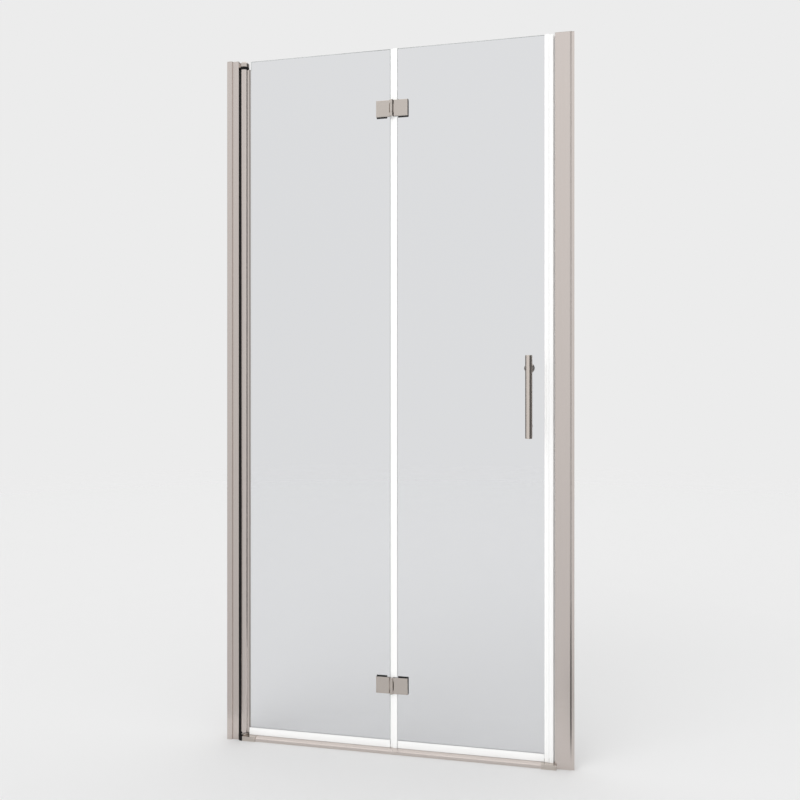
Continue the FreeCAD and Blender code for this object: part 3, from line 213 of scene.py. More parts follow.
class ShowerDoorColours(bpy.types.PropertyGroup):
    """Colours of the door's materials and of the studio."""
    profile: colour("Profiles", "Brushed nickel-toned anodised aluminium", "D4CBC6")
    fitting: colour("Fittings", "Satin nickel plate", "CBC3BC")
    # The handle's colour is the fittings' nickel plate made lighter: a painted highlight
    handle: colour("Handle", "Polished nickel plate", "DBD1C9")
    steel: colour("Screws and pins", "Turned stainless steel", "BDBDBB")
    glass: colour("Glass", "Clear float glass, as light leaves each face", "ECEDEF")
    ground: colour("Ground edges", "Ground edges of the panes", "B0B8B6")
    seal: colour("Seals", "White soft PVC", "F6F6F5")
    gasket: colour("Gaskets", "Grey soft PVC", "908A86")
    rubber: colour("Rubber", "Black EPDM", "121212")
    acetal: colour("Bushes", "Black acetal", "0C0C0C")
    ferrite: colour("Magnets", "Ferrite-filled rubber strip", "3A332E")
    cover: colour("Covers", "Grey moulded ABS", "B9B2AC")
    backdrop: colour("Backdrop", "Floor and background of the studio", "ECECEC")


def put(tree, kind, sockets=None, **settings):
    """Adds a node: its own settings, and its sockets as plain values or as outputs to link from."""
    node = tree.nodes.new(kind)
    for name, setting in settings.items():
        setattr(node, name, setting)
    for name, source in (sockets or {}).items():
        if isinstance(source, bpy.types.NodeSocket):
            tree.links.new(source, node.inputs[name])
        else:
            node.inputs[name].default_value = source
    return node


def blank_material(name):
    material = bpy.data.materials.new(name)
    material.use_nodes = True
    material.node_tree.nodes.clear()
    return material, material.node_tree


def grained(name, base, shade, roughness, spread, grain, relief, **constants):
    """A material with a grain, sized in mm along x, y and z, in its shade, its gloss and its relief."""
    material, tree = blank_material(name)
    place = put(tree, "ShaderNodeTexCoord").outputs["Object"]
    scale = [1 / (size * MM) for size in grain]
    stretched = put(tree, "ShaderNodeMapping", {"Vector": place, "Scale": scale})
    noise = put(tree, "ShaderNodeTexNoise", {
        "Vector": stretched.outputs[0], "Scale": 1.0, "Detail": GRAIN_LAYERS,
        "Roughness": GRAIN_FINENESS}).outputs[0]
    dark = [channel * (1 - shade) for channel in base[:3]] + [1.0]
    light = [min(channel * (1 + shade), 1.0) for channel in base[:3]] + [1.0]
    tint = put(tree, "ShaderNodeMix", {"Factor": noise, "A": dark, "B": light}, data_type="RGBA")
    gloss = put(tree, "ShaderNodeMapRange", {"Value": noise, "To Min": roughness - spread,
                                             "To Max": roughness + spread})
    bump = put(tree, "ShaderNodeBump", {"Height": noise, "Distance": relief * MM, "Strength": GRAIN_PRESS})
    shader = put(tree, "ShaderNodeBsdfPrincipled", {
        "Base Color": tint.outputs["Result"], "Roughness": gloss.outputs[0], "Normal": bump.outputs[0],
        **constants})
    put(tree, "ShaderNodeOutputMaterial", {"Surface": shader.outputs[0]})
    return material


def glass(name, tint, roughness):
    """Glass that refracts what is seen through it and lets the lamps' light pass on to the floor."""
    material, tree = blank_material(name)
    shader = put(tree, "ShaderNodeBsdfPrincipled", {
        "Base Color": tint, "Roughness": roughness, "IOR": GLASS_IOR, "Transmission Weight": 1.0})
    clear = put(tree, "ShaderNodeBsdfTransparent")
    shadow = put(tree, "ShaderNodeLightPath").outputs["Is Shadow Ray"]
    both = put(tree, "ShaderNodeMixShader", {0: shadow, 1: shader.outputs[0], 2: clear.outputs[0]})
    put(tree, "ShaderNodeOutputMaterial", {"Surface": both.outputs[0]})
    return material


def make_finishes(colours):
    """The door's materials by the slot of the record that they finish, and those that a slot shares."""
    # Brushed anodised aluminium: fine lines along the extrusion over a soft warm sheen. The lines are
    # about 0.2 mm wide and are drawn at 1.5 mm, or they wouldn't show.
    upright = grained("brushed_anodised_aluminium_upright", colours.profile, shade=0.05, roughness=0.22,
                      spread=0.05, grain=(1.5, 1.5, 260), relief=0.05, Metallic=1.0)
    lengthwise = grained("brushed_anodised_aluminium_lengthwise", colours.profile, shade=0.05,
                         roughness=0.16, spread=0.04, grain=(260, 1.5, 1.5), relief=0.05, Metallic=1.0)
    # Satin nickel plate on brass: a closer, silkier brushing than the profiles, drawn at 1 mm for 0.1 mm
    plate = grained("satin_nickel_plated_brass", colours.fitting, shade=0.04, roughness=0.2, spread=0.04,
                    grain=(1.0, 1.0, 60), relief=0.03, Metallic=1.0)
    # Nickel plate on the handle, as on the fittings, made lighter: a painted highlight for brighter light
    handle = grained("nickel_plated_handle_painted_highlight", colours.handle, shade=0.04, roughness=0.2, spread=0.04,
                     grain=(1.0, 1.0, 60), relief=0.03, Metallic=1.0)
    # Turned stainless steel: bright, with tool marks about 0.3 mm apart
    steel = grained("turned_stainless_steel", colours.steel, shade=0.06, roughness=0.28, spread=0.06,
                    grain=(0.3, 4, 0.3), relief=0.02, Metallic=1.0)
    # Toughened float glass: clear and mirror smooth, its ground edges frosted by the grinding belt
    float_glass = glass("toughened_float_glass", colours.glass, roughness=0.0)
    ground = glass("ground_glass_edge", colours.ground, roughness=0.35)
    # Soft white PVC: a waxy extruded strip with faint drawing lines along its length
    seal_upright = grained("soft_white_pvc_extruded_upright", colours.seal, shade=0.015, roughness=0.42,
                           spread=0.06, grain=(3, 3, 400), relief=0.03, IOR=PVC_IOR)
    seal_level = grained("soft_white_pvc_extruded_level", colours.seal, shade=0.015, roughness=0.42,
                         spread=0.06, grain=(400, 3, 3), relief=0.03, IOR=PVC_IOR)
    # Grey soft PVC gasket: matt, with the same drawing lines
    gasket = grained("soft_grey_pvc_gasket", colours.gasket, shade=0.05, roughness=0.5, spread=0.08,
                     grain=(2, 2, 200), relief=0.03, IOR=PVC_IOR)
    # Black EPDM rubber: dull and slightly chalky, with a grain about 0.6 mm across
    rubber = grained("black_epdm_rubber", colours.rubber, shade=0.25, roughness=0.62, spread=0.1,
                     grain=(0.6, 0.6, 0.6), relief=0.04, **DULL_RUBBER)
    # Black acetal: a smooth, waxy moulding with a weak grain
    acetal = grained("black_moulded_acetal", colours.acetal, shade=0.15, roughness=0.36, spread=0.06,
                     grain=(0.8, 0.8, 0.8), relief=0.02, **DULL_ACETAL)
    # Ferrite-filled rubber: brown-black with specks of filler about 0.5 mm across
    ferrite = grained("ferrite_rubber_strip", colours.ferrite, shade=0.3, roughness=0.7, spread=0.1,
                      grain=(0.5, 0.5, 0.5), relief=0.04, IOR=FERRITE_IOR)
    # Moulded ABS: a fine spark-eroded grain, drawn at 0.8 mm for 0.2 mm
    cover = grained("moulded_grey_abs", colours.cover, shade=0.05, roughness=0.48, spread=0.08,
                    grain=(0.8, 0.8, 0.8), relief=0.03, IOR=ABS_IOR)
    return {
        "satin_nickel_aluminium": upright, "brushed_nickel_fitting": plate, "clear_glass": float_glass,
        "white_seal": seal_upright, "black_rubber": rubber, "black_plastic": acetal, "grey_gasket": gasket,
        "magnet_strip": ferrite, "stainless_steel": steel, "grey_plastic": cover,
        "sill": lengthwise, "handle": handle, "ground_edge": ground, "level_seal": seal_level,
    }


FINISHES = {}


def eased(outline, radius, closed=True):
    """An outline with its corners rounded, less where a side is too short for the whole radius."""
    points = []
    for number, corner in enumerate(outline):
        here = Vector(corner)
        if not closed and number in (0, len(outline) - 1):
            points.append(here)
            continue
        back = Vector(outline[number - 1]) - here
        on = Vector(outline[(number + 1) % len(outline)]) - here
        angle = back.angle(on)
        if angle > STRAIGHT_ANGLE:
            points.append(here)
            continue
        reach = min(radius / math.tan(angle / 2), back.length * CORNER_SHARE, on.length * CORNER_SHARE)
        start, end = here + back.normalized() * reach, here + on.normalized() * reach
        for step in range(CORNER_STEPS + 1):
            share = step / CORNER_STEPS
            points.append(start * (1 - share) ** 2 + here * 2 * share * (1 - share) + end * share ** 2)
    return points


def mirrored(half):
    """An outline from its half on one side of the glass: the other half is its mirror image."""
    return half + [(across, -depth) for across, depth in reversed(half)]


def circle(centre, radius):
    turns = [2 * math.pi * step / HOLE_STEPS for step in range(HOLE_STEPS)]
    return [(centre[0] + radius * math.cos(turn), centre[1] + radius * math.sin(turn)) for turn in turns]


def rectangle(low, high):
    return [(low[0], low[1]), (high[0], low[1]), (high[0], high[1]), (low[0], high[1])]


def swept(name, loops, axis, span, ease=0.0):
    """A mesh swept along an axis: the first loop is its outline, the others are hollows; ease bevels it."""
    curve = bpy.data.curves.new(name, "CURVE")
    curve.dimensions = "2D"
    curve.fill_mode = "BOTH"
    curve.extrude = (span[1] - span[0]) / 2 - ease
    curve.bevel_depth = ease
    curve.bevel_resolution = BEVEL_STEPS
    curve.offset = -ease
    for loop in loops:
        spline = curve.splines.new("POLY")
        spline.points.add(len(loop) - 1)
        for point, (across, up) in zip(spline.points, loop):
            point.co = (across, up, 0.0, 1.0)
        spline.use_cyclic_u = True
    drawn = bpy.data.objects.new(name, curve)
    mesh = bpy.data.meshes.new_from_object(drawn)
    bpy.data.objects.remove(drawn)
    bpy.data.curves.remove(curve)
    middle = (span[0] + span[1]) / 2
    shift = -middle if axis == "y" else middle
    mesh.transform(SWEEP_FRAMES[axis] @ Matrix.Translation((0, 0, shift)))
    form = bmesh.new()
    form.from_mesh(mesh)
    bmesh.ops.remove_doubles(form, verts=form.verts, dist=WELD)
    bmesh.ops.recalc_face_normals(form, faces=form.faces)
    form.to_mesh(mesh)
    form.free()
    return mesh


def turn(form, centre, rings):
    """Adds a form turned about Y, from rings of (radius, depth, sides) that are round where sides is 0."""
    levels = []
    for radius, depth, sides in rings:
        if radius == 0:
            levels.append([form.verts.new((centre[0], depth, centre[1]))])
            continue
        level = []
        for step in range(TURN_STEPS):
            angle = 2 * math.pi * step / TURN_STEPS
            reach = radius
            if sides:
                half = math.pi / sides
                reach = radius / math.cos((angle + half) % (2 * half) - half)
            place = (centre[0] + reach * math.cos(angle), depth, centre[1] + reach * math.sin(angle))
            level.append(form.verts.new(place))
        levels.append(level)
    for near, far in zip(levels, levels[1:]):
        for step in range(TURN_STEPS):
            corners = [near[step % len(near)], near[(step + 1) % len(near)],
                       far[(step + 1) % len(far)], far[step % len(far)]]
            form.faces.new(list(dict.fromkeys(corners)))


def turned(name, centres, rings):
    """A mesh of equal turned forms, one at each (x, z) centre."""
    form = bmesh.new()
    for centre in centres:
        turn(form, centre, rings)
    bmesh.ops.recalc_face_normals(form, faces=form.faces)
    mesh = bpy.data.meshes.new(name)
    form.to_mesh(mesh)
    form.free()
    return mesh


def place_piece(name, mesh, nodes, finish=None, smooth=True):
    """Puts a piece in the scene in place of CAD nodes, which it hides, on their body, with their slot's
    finish unless another is named.
    """
    slot = SLOT_OF[nodes[0]]
    piece = bpy.data.objects.new(name, mesh)
    bpy.context.scene.collection.objects.link(piece)
    mesh.materials.append(FINISHES[finish or slot])
    if smooth:
        mesh.shade_smooth()
        mesh.set_sharp_from_angle(angle=SHARP_ANGLE)
    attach(piece, BODY_OF[nodes[0]])
    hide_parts(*nodes)
    return piece


def screw_centres(node):
    """The (x, z) centres of two equal round pieces that a node holds one above the other."""
    low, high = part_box(node)
    radius = (high.x - low.x) / 2
    middle = (low.x + high.x) / 2
    return [(middle, low.z + radius), (middle, high.z - radius)]


class SHOWERDOOR_OT_finishes(bpy.types.Operator):
    """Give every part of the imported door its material"""
    bl_idname = "shower_door.finishes"
    bl_label = "Finishes"

    def execute(self, context):
        FINISHES.update(make_finishes(context.scene.shower_door_colours))
        for name, node in frame["nodes"].items():
            material = FINISHES[NODE_FINISHES.get(name, SLOT_OF[name])]
            if not node.material_slots:
                node.data.materials.append(material)
            for holder in node.material_slots:
                holder.material = material
        return {"FINISHED"}


class SHOWERDOOR_OT_glass(bpy.types.Operator):
    """Build the two panes with ground edges and drilled holes"""
    bl_idname = "shower_door.glass"
    bl_label = "Glass panes"

    def execute(self, context):
        sizes = context.scene.shower_door_sizes
        notch_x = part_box("top_bush")[1].x + sizes.notch_gap
        notch_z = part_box("pivot_stile")[1].z - sizes.notch_drop
        low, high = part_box("pivot_glass")
        outline = [(low.x, low.z), (high.x, low.z), (high.x, high.z), (notch_x, high.z),
                   (notch_x, notch_z), (low.x, notch_z)]
        self.pane("pivot_pane", "pivot_glass", outline, screw_holders("pivot"), sizes)
        low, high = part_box("folding_glass")
        outline = rectangle((low.x, low.z), (high.x, high.z))
        holders = screw_holders("folding") + ["handle_studs"]
        self.pane("folding_pane", "folding_glass", outline, holders, sizes)
        return {"FINISHED"}

    def pane(self, name, node, outline, holders, sizes):
        """One pane, drilled where the named nodes pass through it."""
        holes = [circle(centre, sizes.glass_hole) for holder in holders for centre in screw_centres(holder)]
        low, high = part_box(node)
        mesh = swept(name, [outline] + holes, "y", (low.y, high.y), sizes.glass_arris)
        piece = place_piece(name, mesh, [node], smooth=False)
        # Metal beside the glass mirrors the room itself, which a clear pane hardly changes
        piece.visible_glossy = False
        mesh.materials.append(FINISHES["ground_edge"])
        for face in mesh.polygons:
            face.material_index = 0 if abs(face.normal.y) > math.cos(FLAT_ANGLE) else 1


def screw_holders(leaf):
    """The nodes that hold one leaf's hinge screws."""
    return [f"{hinge}_hinge_{leaf}_screws" for hinge in HINGES]


class SHOWERDOOR_OT_magnet_seals(bpy.types.Operator):
    """Build the white closing and strike seals round their magnet strips"""
    bl_idname = "shower_door.magnet_seals"
    bl_label = "Closing and strike seals"

    def execute(self, context):
        sizes = context.scene.shower_door_sizes
        low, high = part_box("closing_seal")
        edge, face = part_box("folding_glass")[1].xy
        leg = face + sizes.seal_wall
        half = [(high.x, high.y), (edge, high.y), (edge, leg), (low.x, leg), (low.x, face), (edge, face)]
        self.seal("closing", mirrored(half), sizes.seal_round)
        low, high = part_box("strike_seal")
        front, back = low.y, low.x + sizes.seal_body
        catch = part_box("strike_jamb")[0].x + sizes.mouth_wall
        neck, barb = ([sizes.mouth_offset + side * width / 2 for side in (-1, 1)]
                      for width in (sizes.seal_neck, sizes.seal_barb))
        outline = [
            (low.x, front), (back, front), (back, neck[0]), (catch, neck[0]), (catch, barb[0]),
            (high.x, barb[0]), (high.x, barb[1]), (catch, barb[1]), (catch, neck[1]), (back, neck[1]),
            (back, -front), (low.x, -front)]
        self.seal("strike", outline, sizes.seal_round)
        return {"FINISHED"}

    def seal(self, name, outline, radius):
        """One seal with the hollow that its magnet fills."""
        low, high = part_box(f"{name}_seal")
        hollow = rectangle(*(corner.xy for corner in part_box(f"{name}_magnet")))
        mesh = swept(f"{name}_strip", [eased(outline, radius), hollow], "z", (low.z, high.z))
        place_piece(f"{name}_strip", mesh, [f"{name}_seal"])


class SHOWERDOOR_OT_centre_seals(bpy.types.Operator):
    """Build the three lengths of white seal between the panes"""
    bl_idname = "shower_door.centre_seals"
    bl_label = "Centre seals"

    def execute(self, context):
        sizes = context.scene.shower_door_sizes
        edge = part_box("folding_glass")[0].x
        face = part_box("folding_glass")[1].y
        web = edge - sizes.seal_web
        for node in CENTRE_SEALS:
            low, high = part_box(node)
            half = [(edge, face), (high.x, face), (high.x, high.y), (web, high.y),
                    (web, sizes.fin_root / 2), (low.x, sizes.fin_tip / 2)]
            outline = eased(mirrored(half), sizes.seal_round)
            name = node.replace("seal", "strip")
            place_piece(name, swept(name, [outline], "z", (low.z, high.z)), [node])
        return {"FINISHED"}


class SHOWERDOOR_OT_bottom_seals(bpy.types.Operator):
    """Build the white bottom seals with their fin and drip lip"""
    bl_idname = "shower_door.bottom_seals"
    bl_label = "Bottom seals"

    def execute(self, context):
        sizes = context.scene.shower_door_sizes
        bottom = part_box("folding_glass")[0].z
        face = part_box("folding_glass")[1].y
        leg = face + sizes.seal_wall
        shoulder = bottom - sizes.seal_shoulder
        under = shoulder - sizes.drip_wall
        lip, lip_low = leg + sizes.drip_reach, shoulder - sizes.drip_reach
        root, tip = sizes.sweep_root - leg, sizes.sweep_tip - leg
        for node in BOTTOM_SEALS:
            low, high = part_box(node)
            outline = [
                (-leg, high.z), (-face, high.z), (-face, bottom), (face, bottom), (face, high.z),
                (leg, high.z), (leg, shoulder), (lip, lip_low + sizes.drip_wall), (lip, lip_low),
                (leg - sizes.drip_wall, under), (root, under), (tip, low.z), (-leg, low.z)]
            name = node.replace("seal", "strip")
            mesh = swept(name, [eased(outline, sizes.seal_round)], "x", (low.x, high.x))
            place_piece(name, mesh, [node], "level_seal")
        return {"FINISHED"}


class SHOWERDOOR_OT_pivot_blocks(bpy.types.Operator):
    """Build the two pivot blocks: a turned nose with eased edges, and the neck that holds it to the jamb"""
    bl_idname = "shower_door.pivot_blocks"
    bl_label = "Pivot blocks"

    def execute(self, context):
        sizes = context.scene.shower_door_sizes
        low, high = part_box("top_pivot_block")
        radius, slope = high.y, high.z - sizes.nose_slope
        nose = [(0, low.z), (radius, low.z), (radius, slope), (radius - sizes.nose_bevel, high.z),
                (0, high.z)]
        self.block("top", nose, high.z - sizes.neck_drop, sizes)
        low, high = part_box("bottom_pivot_block")
        nose = [(0, low.z), (radius, low.z), (radius, high.z), (0, high.z)]
        self.block("bottom", nose, high.z, sizes)
        return {"FINISHED"}

    def block(self, end, nose, neck_top, sizes):
        """One block, from the half outline of its nose and the height of its neck."""
        low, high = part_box(f"{end}_pivot_block")
        name = f"{end}_pivot_housing"
        centre, side = high.x - high.y, sizes.block_neck / 2
        rings = [(reach, height, 0) for reach, height in eased(nose, sizes.block_ease, closed=False)]
        mesh = turned(name, [(centre, 0)], rings)
        mesh.transform(Matrix.Rotation(math.pi / 2, 4, "X"))
        form = bmesh.new()
        form.from_mesh(mesh)
        form.from_mesh(swept(name, [rectangle((low.x, -side), (centre, side))], "z", (low.z, neck_top)))
        form.to_mesh(mesh)
        form.free()
        place_piece(name, mesh, [f"{end}_pivot_block"])


class SHOWERDOOR_OT_cover_plates(bpy.types.Operator):
    """Build the cover plates on the jambs, with rounded corners and eased edges"""
    bl_idname = "shower_door.cover_plates"
    bl_label = "Cover plates"

    def execute(self, context):
        sizes = context.scene.shower_door_sizes
        low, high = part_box("pivot_jamb_cover")
        step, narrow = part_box("left_wall_channel")[1].x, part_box("pivot_jamb")[1].y
        self.plate("pivot_jamb_cover", mirrored([(low.x, high.y), (step, high.y), (step, narrow),
                                                 (high.x, narrow)]), sizes)
        low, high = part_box("strike_jamb_cover")
        step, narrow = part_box("strike_jamb")[1].x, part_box("right_wall_channel")[1].y
        self.plate("strike_jamb_cover", mirrored([(low.x, high.y), (step, high.y), (step, narrow),
                                                  (high.x, narrow)]), sizes)
        return {"FINISHED"}

    def plate(self, node, outline, sizes):
        """One plate from its outline, without the hidden peg."""
        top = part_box(node)[1].z
        name = node.replace("cover", "plate")
        mesh = swept(name, [eased(outline, sizes.cover_corner)], "z", (top - sizes.cover_thickness, top),
                     sizes.cover_ease)
        place_piece(name, mesh, [node])


class SHOWERDOOR_OT_hinge_screws(bpy.types.Operator):
    """Build the countersunk hinge screws with their hexagon sockets"""
    bl_idname = "shower_door.hinge_screws"
    bl_label = "Hinge screws"

    def execute(self, context):
        sizes = context.scene.shower_door_sizes
        across, core, edge = sizes.socket_across / 2, sizes.screw_core, sizes.screw_edge
        for hinge in HINGES:
            for leaf in LEAVES:
                node = f"{hinge}_hinge_{leaf}_screws"
                low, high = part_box(node)
                top, head = high.y, (high.x - low.x) / 2
                floor = top - sizes.socket_depth
                drill_point = floor - across / 2
                rings = [(0, drill_point, 0), (across, floor, HEXAGON), (across, top, HEXAGON),
                         (head - edge, top, 0), (head, top - edge, 0), (core, top - head + core - edge, 0),
                         (core, low.y + edge, 0), (core - edge, low.y, 0), (0, low.y, 0)]
                name = f"{hinge}_hinge_{leaf}_socket_screws"
                place_piece(name, turned(name, screw_centres(node), rings), [node])
        return {"FINISHED"}


class SHOWERDOOR_OT_screw_caps(bpy.types.Operator):
    """Build the domed caps over the adjusting screws of the jambs"""
    bl_idname = "shower_door.screw_caps"
    bl_label = "Screw caps"

    def execute(self, context):
        sizes = context.scene.shower_door_sizes
        for jamb in ("pivot_jamb", "strike_jamb"):
            node = f"{jamb}_screw_caps"
            low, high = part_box(node)
            radius, edge = (high.x - low.x) / 2, low.y + sizes.dome_edge
            rings = [(0, low.y, 0), (radius, low.y, 0)]
            for step in range(DOME_STEPS):
                angle = math.pi / 2 * step / DOME_STEPS
                rings.append((radius * math.cos(angle), edge + (high.y - edge) * math.sin(angle), 0))
            rings.append((0, high.y, 0))
            upper, lower = high.z - radius, low.z + radius
            centres = [((low.x + high.x) / 2, height) for height in (lower, (lower + upper) / 2, upper)]
            place_piece(f"{jamb}_domed_caps", turned(f"{jamb}_domed_caps", centres, rings), [node])
        return {"FINISHED"}


class SHOWERDOOR_OT_inside_knob(bpy.types.Operator):
    """Build the turned knob and the small cap that clamp the handle on the shower side"""
    bl_idname = "shower_door.inside_knob"
    bl_label = "Inside knob and cap"

    def execute(self, context):
        sizes = context.scene.shower_door_sizes
        low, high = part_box("inside_knob")
        radius = (high.x - low.x) / 2
        neck = low.y + sizes.knob_neck
        flare = neck + sizes.knob_flare
        outline = [(0, low.y), (sizes.knob_stem, low.y), (sizes.knob_stem, neck), (radius, flare),
                   (radius, high.y), (0, high.y)]
        self.knob("inside_knob", outline, sizes.knob_round)
        low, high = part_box("inside_cap")
        radius = (high.x - low.x) / 2
        outline = [(0, low.y), (radius, low.y), (radius, high.y), (0, high.y)]
        self.knob("inside_cap", outline, sizes.knob_round)
        return {"FINISHED"}

    def knob(self, node, outline, radius):
        """One turned piece from its half outline, with a flat seat and rounded edges."""
        low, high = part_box(node)
        centre = ((low.x + high.x) / 2, (low.z + high.z) / 2)
        seat = outline[:2]
        rings = [(reach, depth, 0) for reach, depth in seat + eased(outline[1:], radius, closed=False)[1:]]
        place_piece(f"{node}_turned", turned(f"{node}_turned", [centre], rings), [node])


class SHOWERDOOR_OT_studio(bpy.types.Operator):
    """Set up the pale floor, the soft studio light and the camera"""
    bl_idname = "shower_door.studio"
    bl_label = "Studio"

    floor_reach: bpy.props.FloatProperty(name="Floor reach", description="Half the width of the floor",
                                         default=9.0, unit="LENGTH")
    fill: bpy.props.FloatProperty(name="Fill", description="Level of the light from all round",
                                  default=0.86)
    key: bpy.props.FloatProperty(name="Key", description="Strength of the soft lamp", default=0.97)

    def execute(self, context):
        backdrop = context.scene.shower_door_colours.backdrop
        context.scene.view_settings.view_transform = "Standard"
        context.scene.world = self.surroundings(backdrop)
        self.floor(context, backdrop)
        self.card(context)
        self.lamp(context)
        self.camera(context)
        return {"FINISHED"}

    def surroundings(self, backdrop):
        """A world that the eye sees as the backdrop, metal as a dim room and the rest as soft fill."""
        world = bpy.data.worlds.new("studio")
        world.use_nodes = True
        tree = world.node_tree
        tree.nodes.clear()
        ray = put(tree, "ShaderNodeLightPath").outputs
        place = put(tree, "ShaderNodeTexCoord").outputs["Generated"]
        way = put(tree, "ShaderNodeSeparateXYZ", {0: place}).outputs
        room = put(tree, "ShaderNodeMath", {0: way["Y"], 1: -1.0}, operation="MULTIPLY").outputs[0]
        bearing = put(tree, "ShaderNodeMath", {0: way["X"], 1: room}, operation="ARCTAN2").outputs[0]
        share = put(tree, "ShaderNodeMapRange", {"Value": bearing, "From Min": -math.pi,
                                                 "From Max": math.pi}).outputs[0]
        level = self.ring(tree, share, ROOM)
        upper = self.ring(tree, share, UPPER_ROOM)
        for above, (start, end) in ((upper, UPPER_START), (CEILING, CEILING_START)):
            height = put(tree, "ShaderNodeMapRange", {"Value": way["Z"], "From Min": start,
                                                      "From Max": end}).outputs[0]
            level = put(tree, "ShaderNodeMix", {"Factor": height, "A": level, "B": above},
                        data_type="RGBA").outputs["Result"]
        seen = put(tree, "ShaderNodeMath", {0: ray["Is Camera Ray"], 1: ray["Is Transmission Ray"]},
                   operation="MAXIMUM").outputs[0]
        soft = put(tree, "ShaderNodeBackground", {"Strength": self.fill, "Color": WHITE}).outputs[0]
        plain = put(tree, "ShaderNodeBackground", {"Color": backdrop}).outputs[0]
        mirrored_room = put(tree, "ShaderNodeBackground", {"Color": level}).outputs[0]
        felt = put(tree, "ShaderNodeMixShader", {0: ray["Is Glossy Ray"], 1: soft, 2: mirrored_room})
        whole = put(tree, "ShaderNodeMixShader", {0: seen, 1: felt.outputs[0], 2: plain})
        put(tree, "ShaderNodeOutputWorld", {"Surface": whole.outputs[0]})
        return world

    def ring(self, tree, share, levels):
        """The level of light all round, from stops of degrees and level."""
        ramp = put(tree, "ShaderNodeValToRGB", {"Fac": share})
        stops = ramp.color_ramp.elements
        stops.remove(stops[0])
        for degrees, level in levels[:-1]:
            stops.new((degrees + HALF_TURN) / (2 * HALF_TURN)).color = (level, level, level, 1.0)
        stops[-1].color = stops[0].color
        return ramp.outputs[0]

    def floor(self, context, backdrop):
        """A matt floor under the door that fades into the backdrop far off."""
        reach = self.floor_reach
        mesh = bpy.data.meshes.new("floor")
        corners = [(-reach, -reach, 0), (reach, -reach, 0), (reach, reach, 0), (-reach, reach, 0)]
        mesh.from_pydata(corners, [], [(0, 1, 2, 3)])
        material, tree = blank_material("painted_studio_floor")
        shader = put(tree, "ShaderNodeBsdfDiffuse", {"Color": backdrop})
        clear = put(tree, "ShaderNodeBsdfTransparent")
        place = put(tree, "ShaderNodeNewGeometry").outputs["Position"]
        away = put(tree, "ShaderNodeVectorMath", {0: place}, operation="LENGTH").outputs["Value"]
        fade = put(tree, "ShaderNodeMapRange", {"Value": away, "From Min": reach * FADE_START,
                                                "From Max": reach}).outputs[0]
        both = put(tree, "ShaderNodeMixShader", {0: fade, 1: shader.outputs[0], 2: clear.outputs[0]})
        across = put(tree, "ShaderNodeSeparateXYZ", {0: place}).outputs
        far = 0.0
        for axis, start, end in DIM_FLOOR:
            shade = put(tree, "ShaderNodeMapRange", {"Value": across[axis], "From Min": start,
                                                     "From Max": end}).outputs[0]
            far = put(tree, "ShaderNodeMath", {0: far, 1: shade}, operation="MAXIMUM").outputs[0]
        lit = put(tree, "ShaderNodeMapRange", {"Value": across["Y"], "From Min": LIT_BEHIND[0],
                                               "From Max": LIT_BEHIND[1]}).outputs[0]
        far = put(tree, "ShaderNodeMath", {0: far, 1: lit}, operation="SUBTRACT", use_clamp=True).outputs[0]
        ray = put(tree, "ShaderNodeLightPath").outputs
        # A ray through clear glass counts as glossy too, and that one shall see the pale floor
        mirrored_ray = put(tree, "ShaderNodeMath", {0: ray["Is Glossy Ray"], 1: ray["Is Transmission Ray"]},
                           operation="SUBTRACT").outputs[0]
        dimmed = put(tree, "ShaderNodeMath", {0: far, 1: mirrored_ray}, operation="MULTIPLY").outputs[0]
        dim = put(tree, "ShaderNodeEmission", {"Strength": DIM}).outputs[0]
        whole = put(tree, "ShaderNodeMixShader", {0: dimmed, 1: both.outputs[0], 2: dim})
        put(tree, "ShaderNodeOutputMaterial", {"Surface": whole.outputs[0]})
        mesh.materials.append(material)
        floor = bpy.data.objects.new("floor", mesh)
        context.scene.collection.objects.link(floor)

    def card(self, context):
        """A white card that only reflections show, as a photographer holds one in front of bright metal."""
        mesh = bpy.data.meshes.new("reflected_card")
        corners = [(*place, height) for place in CARD_LINE for height in (0, CARD_HEIGHT)]
        mesh.from_pydata(corners, [], [(0, 2, 3, 1), (2, 4, 5, 3)])
        material, tree = blank_material("white_card")
        place = put(tree, "ShaderNodeNewGeometry").outputs["Position"]
        growth = put(tree, "ShaderNodeVectorMath", {0: place, 1: CARD_RISE}, operation="DOT_PRODUCT")
        level = put(tree, "ShaderNodeMath", {0: growth.outputs["Value"], 1: CARD_LEVEL}).outputs[0]
        glow = put(tree, "ShaderNodeEmission", {"Strength": level})
        put(tree, "ShaderNodeOutputMaterial", {"Surface": glow.outputs[0]})
        mesh.materials.append(material)
        card = bpy.data.objects.new("reflected_card", mesh)
        card.visible_camera = False
        card.visible_diffuse = False
        card.visible_transmission = False
        card.visible_shadow = False
        context.scene.collection.objects.link(card)

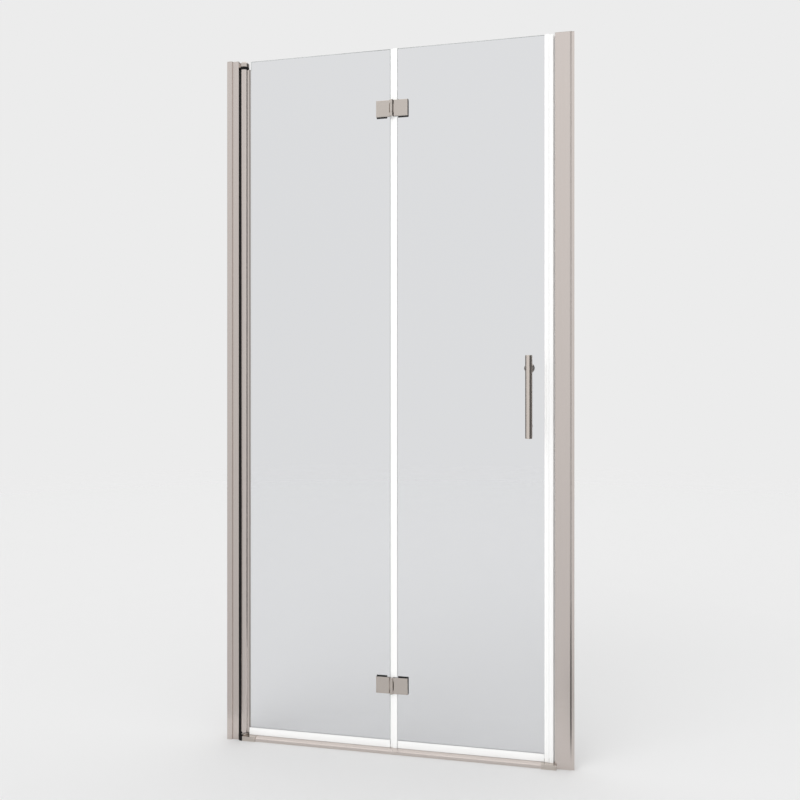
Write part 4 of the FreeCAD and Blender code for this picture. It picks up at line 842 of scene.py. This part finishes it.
    def lamp(self, context):
        """One very soft lamp, high to the left of the camera and so far off that it lights all evenly."""
        light = bpy.data.lights.new("key_lamp", "SUN")
        light.angle = KEY_SPREAD
        light.energy = self.key
        lamp = bpy.data.objects.new("key_lamp", light)
        lamp.rotation_euler = Vector(KEY_WAY).to_track_quat("-Z", "Y").to_euler()
        lamp.visible_glossy = False
        lamp.visible_transmission = False
        context.scene.collection.objects.link(lamp)

    def camera(self, context):
        """A camera where the photograph was taken from."""
        lens = bpy.data.cameras.new("camera")
        lens.lens = LENS
        lens.shift_y = FRAME_SHIFT
        camera = bpy.data.objects.new("camera", lens)
        camera.location = EYE
        camera.rotation_euler = (math.pi / 2, 0, EYE_TURN)
        context.scene.collection.objects.link(camera)
        context.scene.camera = camera


BUILD_STEPS = (
    SHOWERDOOR_OT_finishes, SHOWERDOOR_OT_glass, SHOWERDOOR_OT_magnet_seals, SHOWERDOOR_OT_centre_seals,
    SHOWERDOOR_OT_bottom_seals, SHOWERDOOR_OT_pivot_blocks, SHOWERDOOR_OT_cover_plates,
    SHOWERDOOR_OT_hinge_screws, SHOWERDOOR_OT_screw_caps, SHOWERDOOR_OT_inside_knob, SHOWERDOOR_OT_studio,
)


class SHOWERDOOR_PT_panel(bpy.types.Panel):
    """Lists the steps that dress the shower door"""
    bl_idname = "SHOWERDOOR_PT_panel"
    bl_label = "Shower door"
    bl_space_type = "VIEW_3D"
    bl_region_type = "UI"
    bl_category = "Shower door"

    def draw(self, context):
        for step in BUILD_STEPS:
            self.layout.operator(step.bl_idname)
        for group in (context.scene.shower_door_sizes, context.scene.shower_door_colours):
            for name in group.__annotations__:
                self.layout.prop(group, name)


CLASSES = (ShowerDoorSizes, ShowerDoorColours) + BUILD_STEPS + (SHOWERDOOR_PT_panel,)


def register():
    for item in CLASSES:
        bpy.utils.register_class(item)
    bpy.types.Scene.shower_door_sizes = bpy.props.PointerProperty(type=ShowerDoorSizes)
    bpy.types.Scene.shower_door_colours = bpy.props.PointerProperty(type=ShowerDoorColours)


def unregister():
    del bpy.types.Scene.shower_door_colours
    del bpy.types.Scene.shower_door_sizes
    for item in reversed(CLASSES):
        bpy.utils.unregister_class(item)


def main():
    """Dresses the door step by step."""
    register()
    for step in BUILD_STEPS:
        group, name = step.bl_idname.split(".")
        getattr(getattr(bpy.ops, group), name)()


if __name__ == "__main__":
    main()
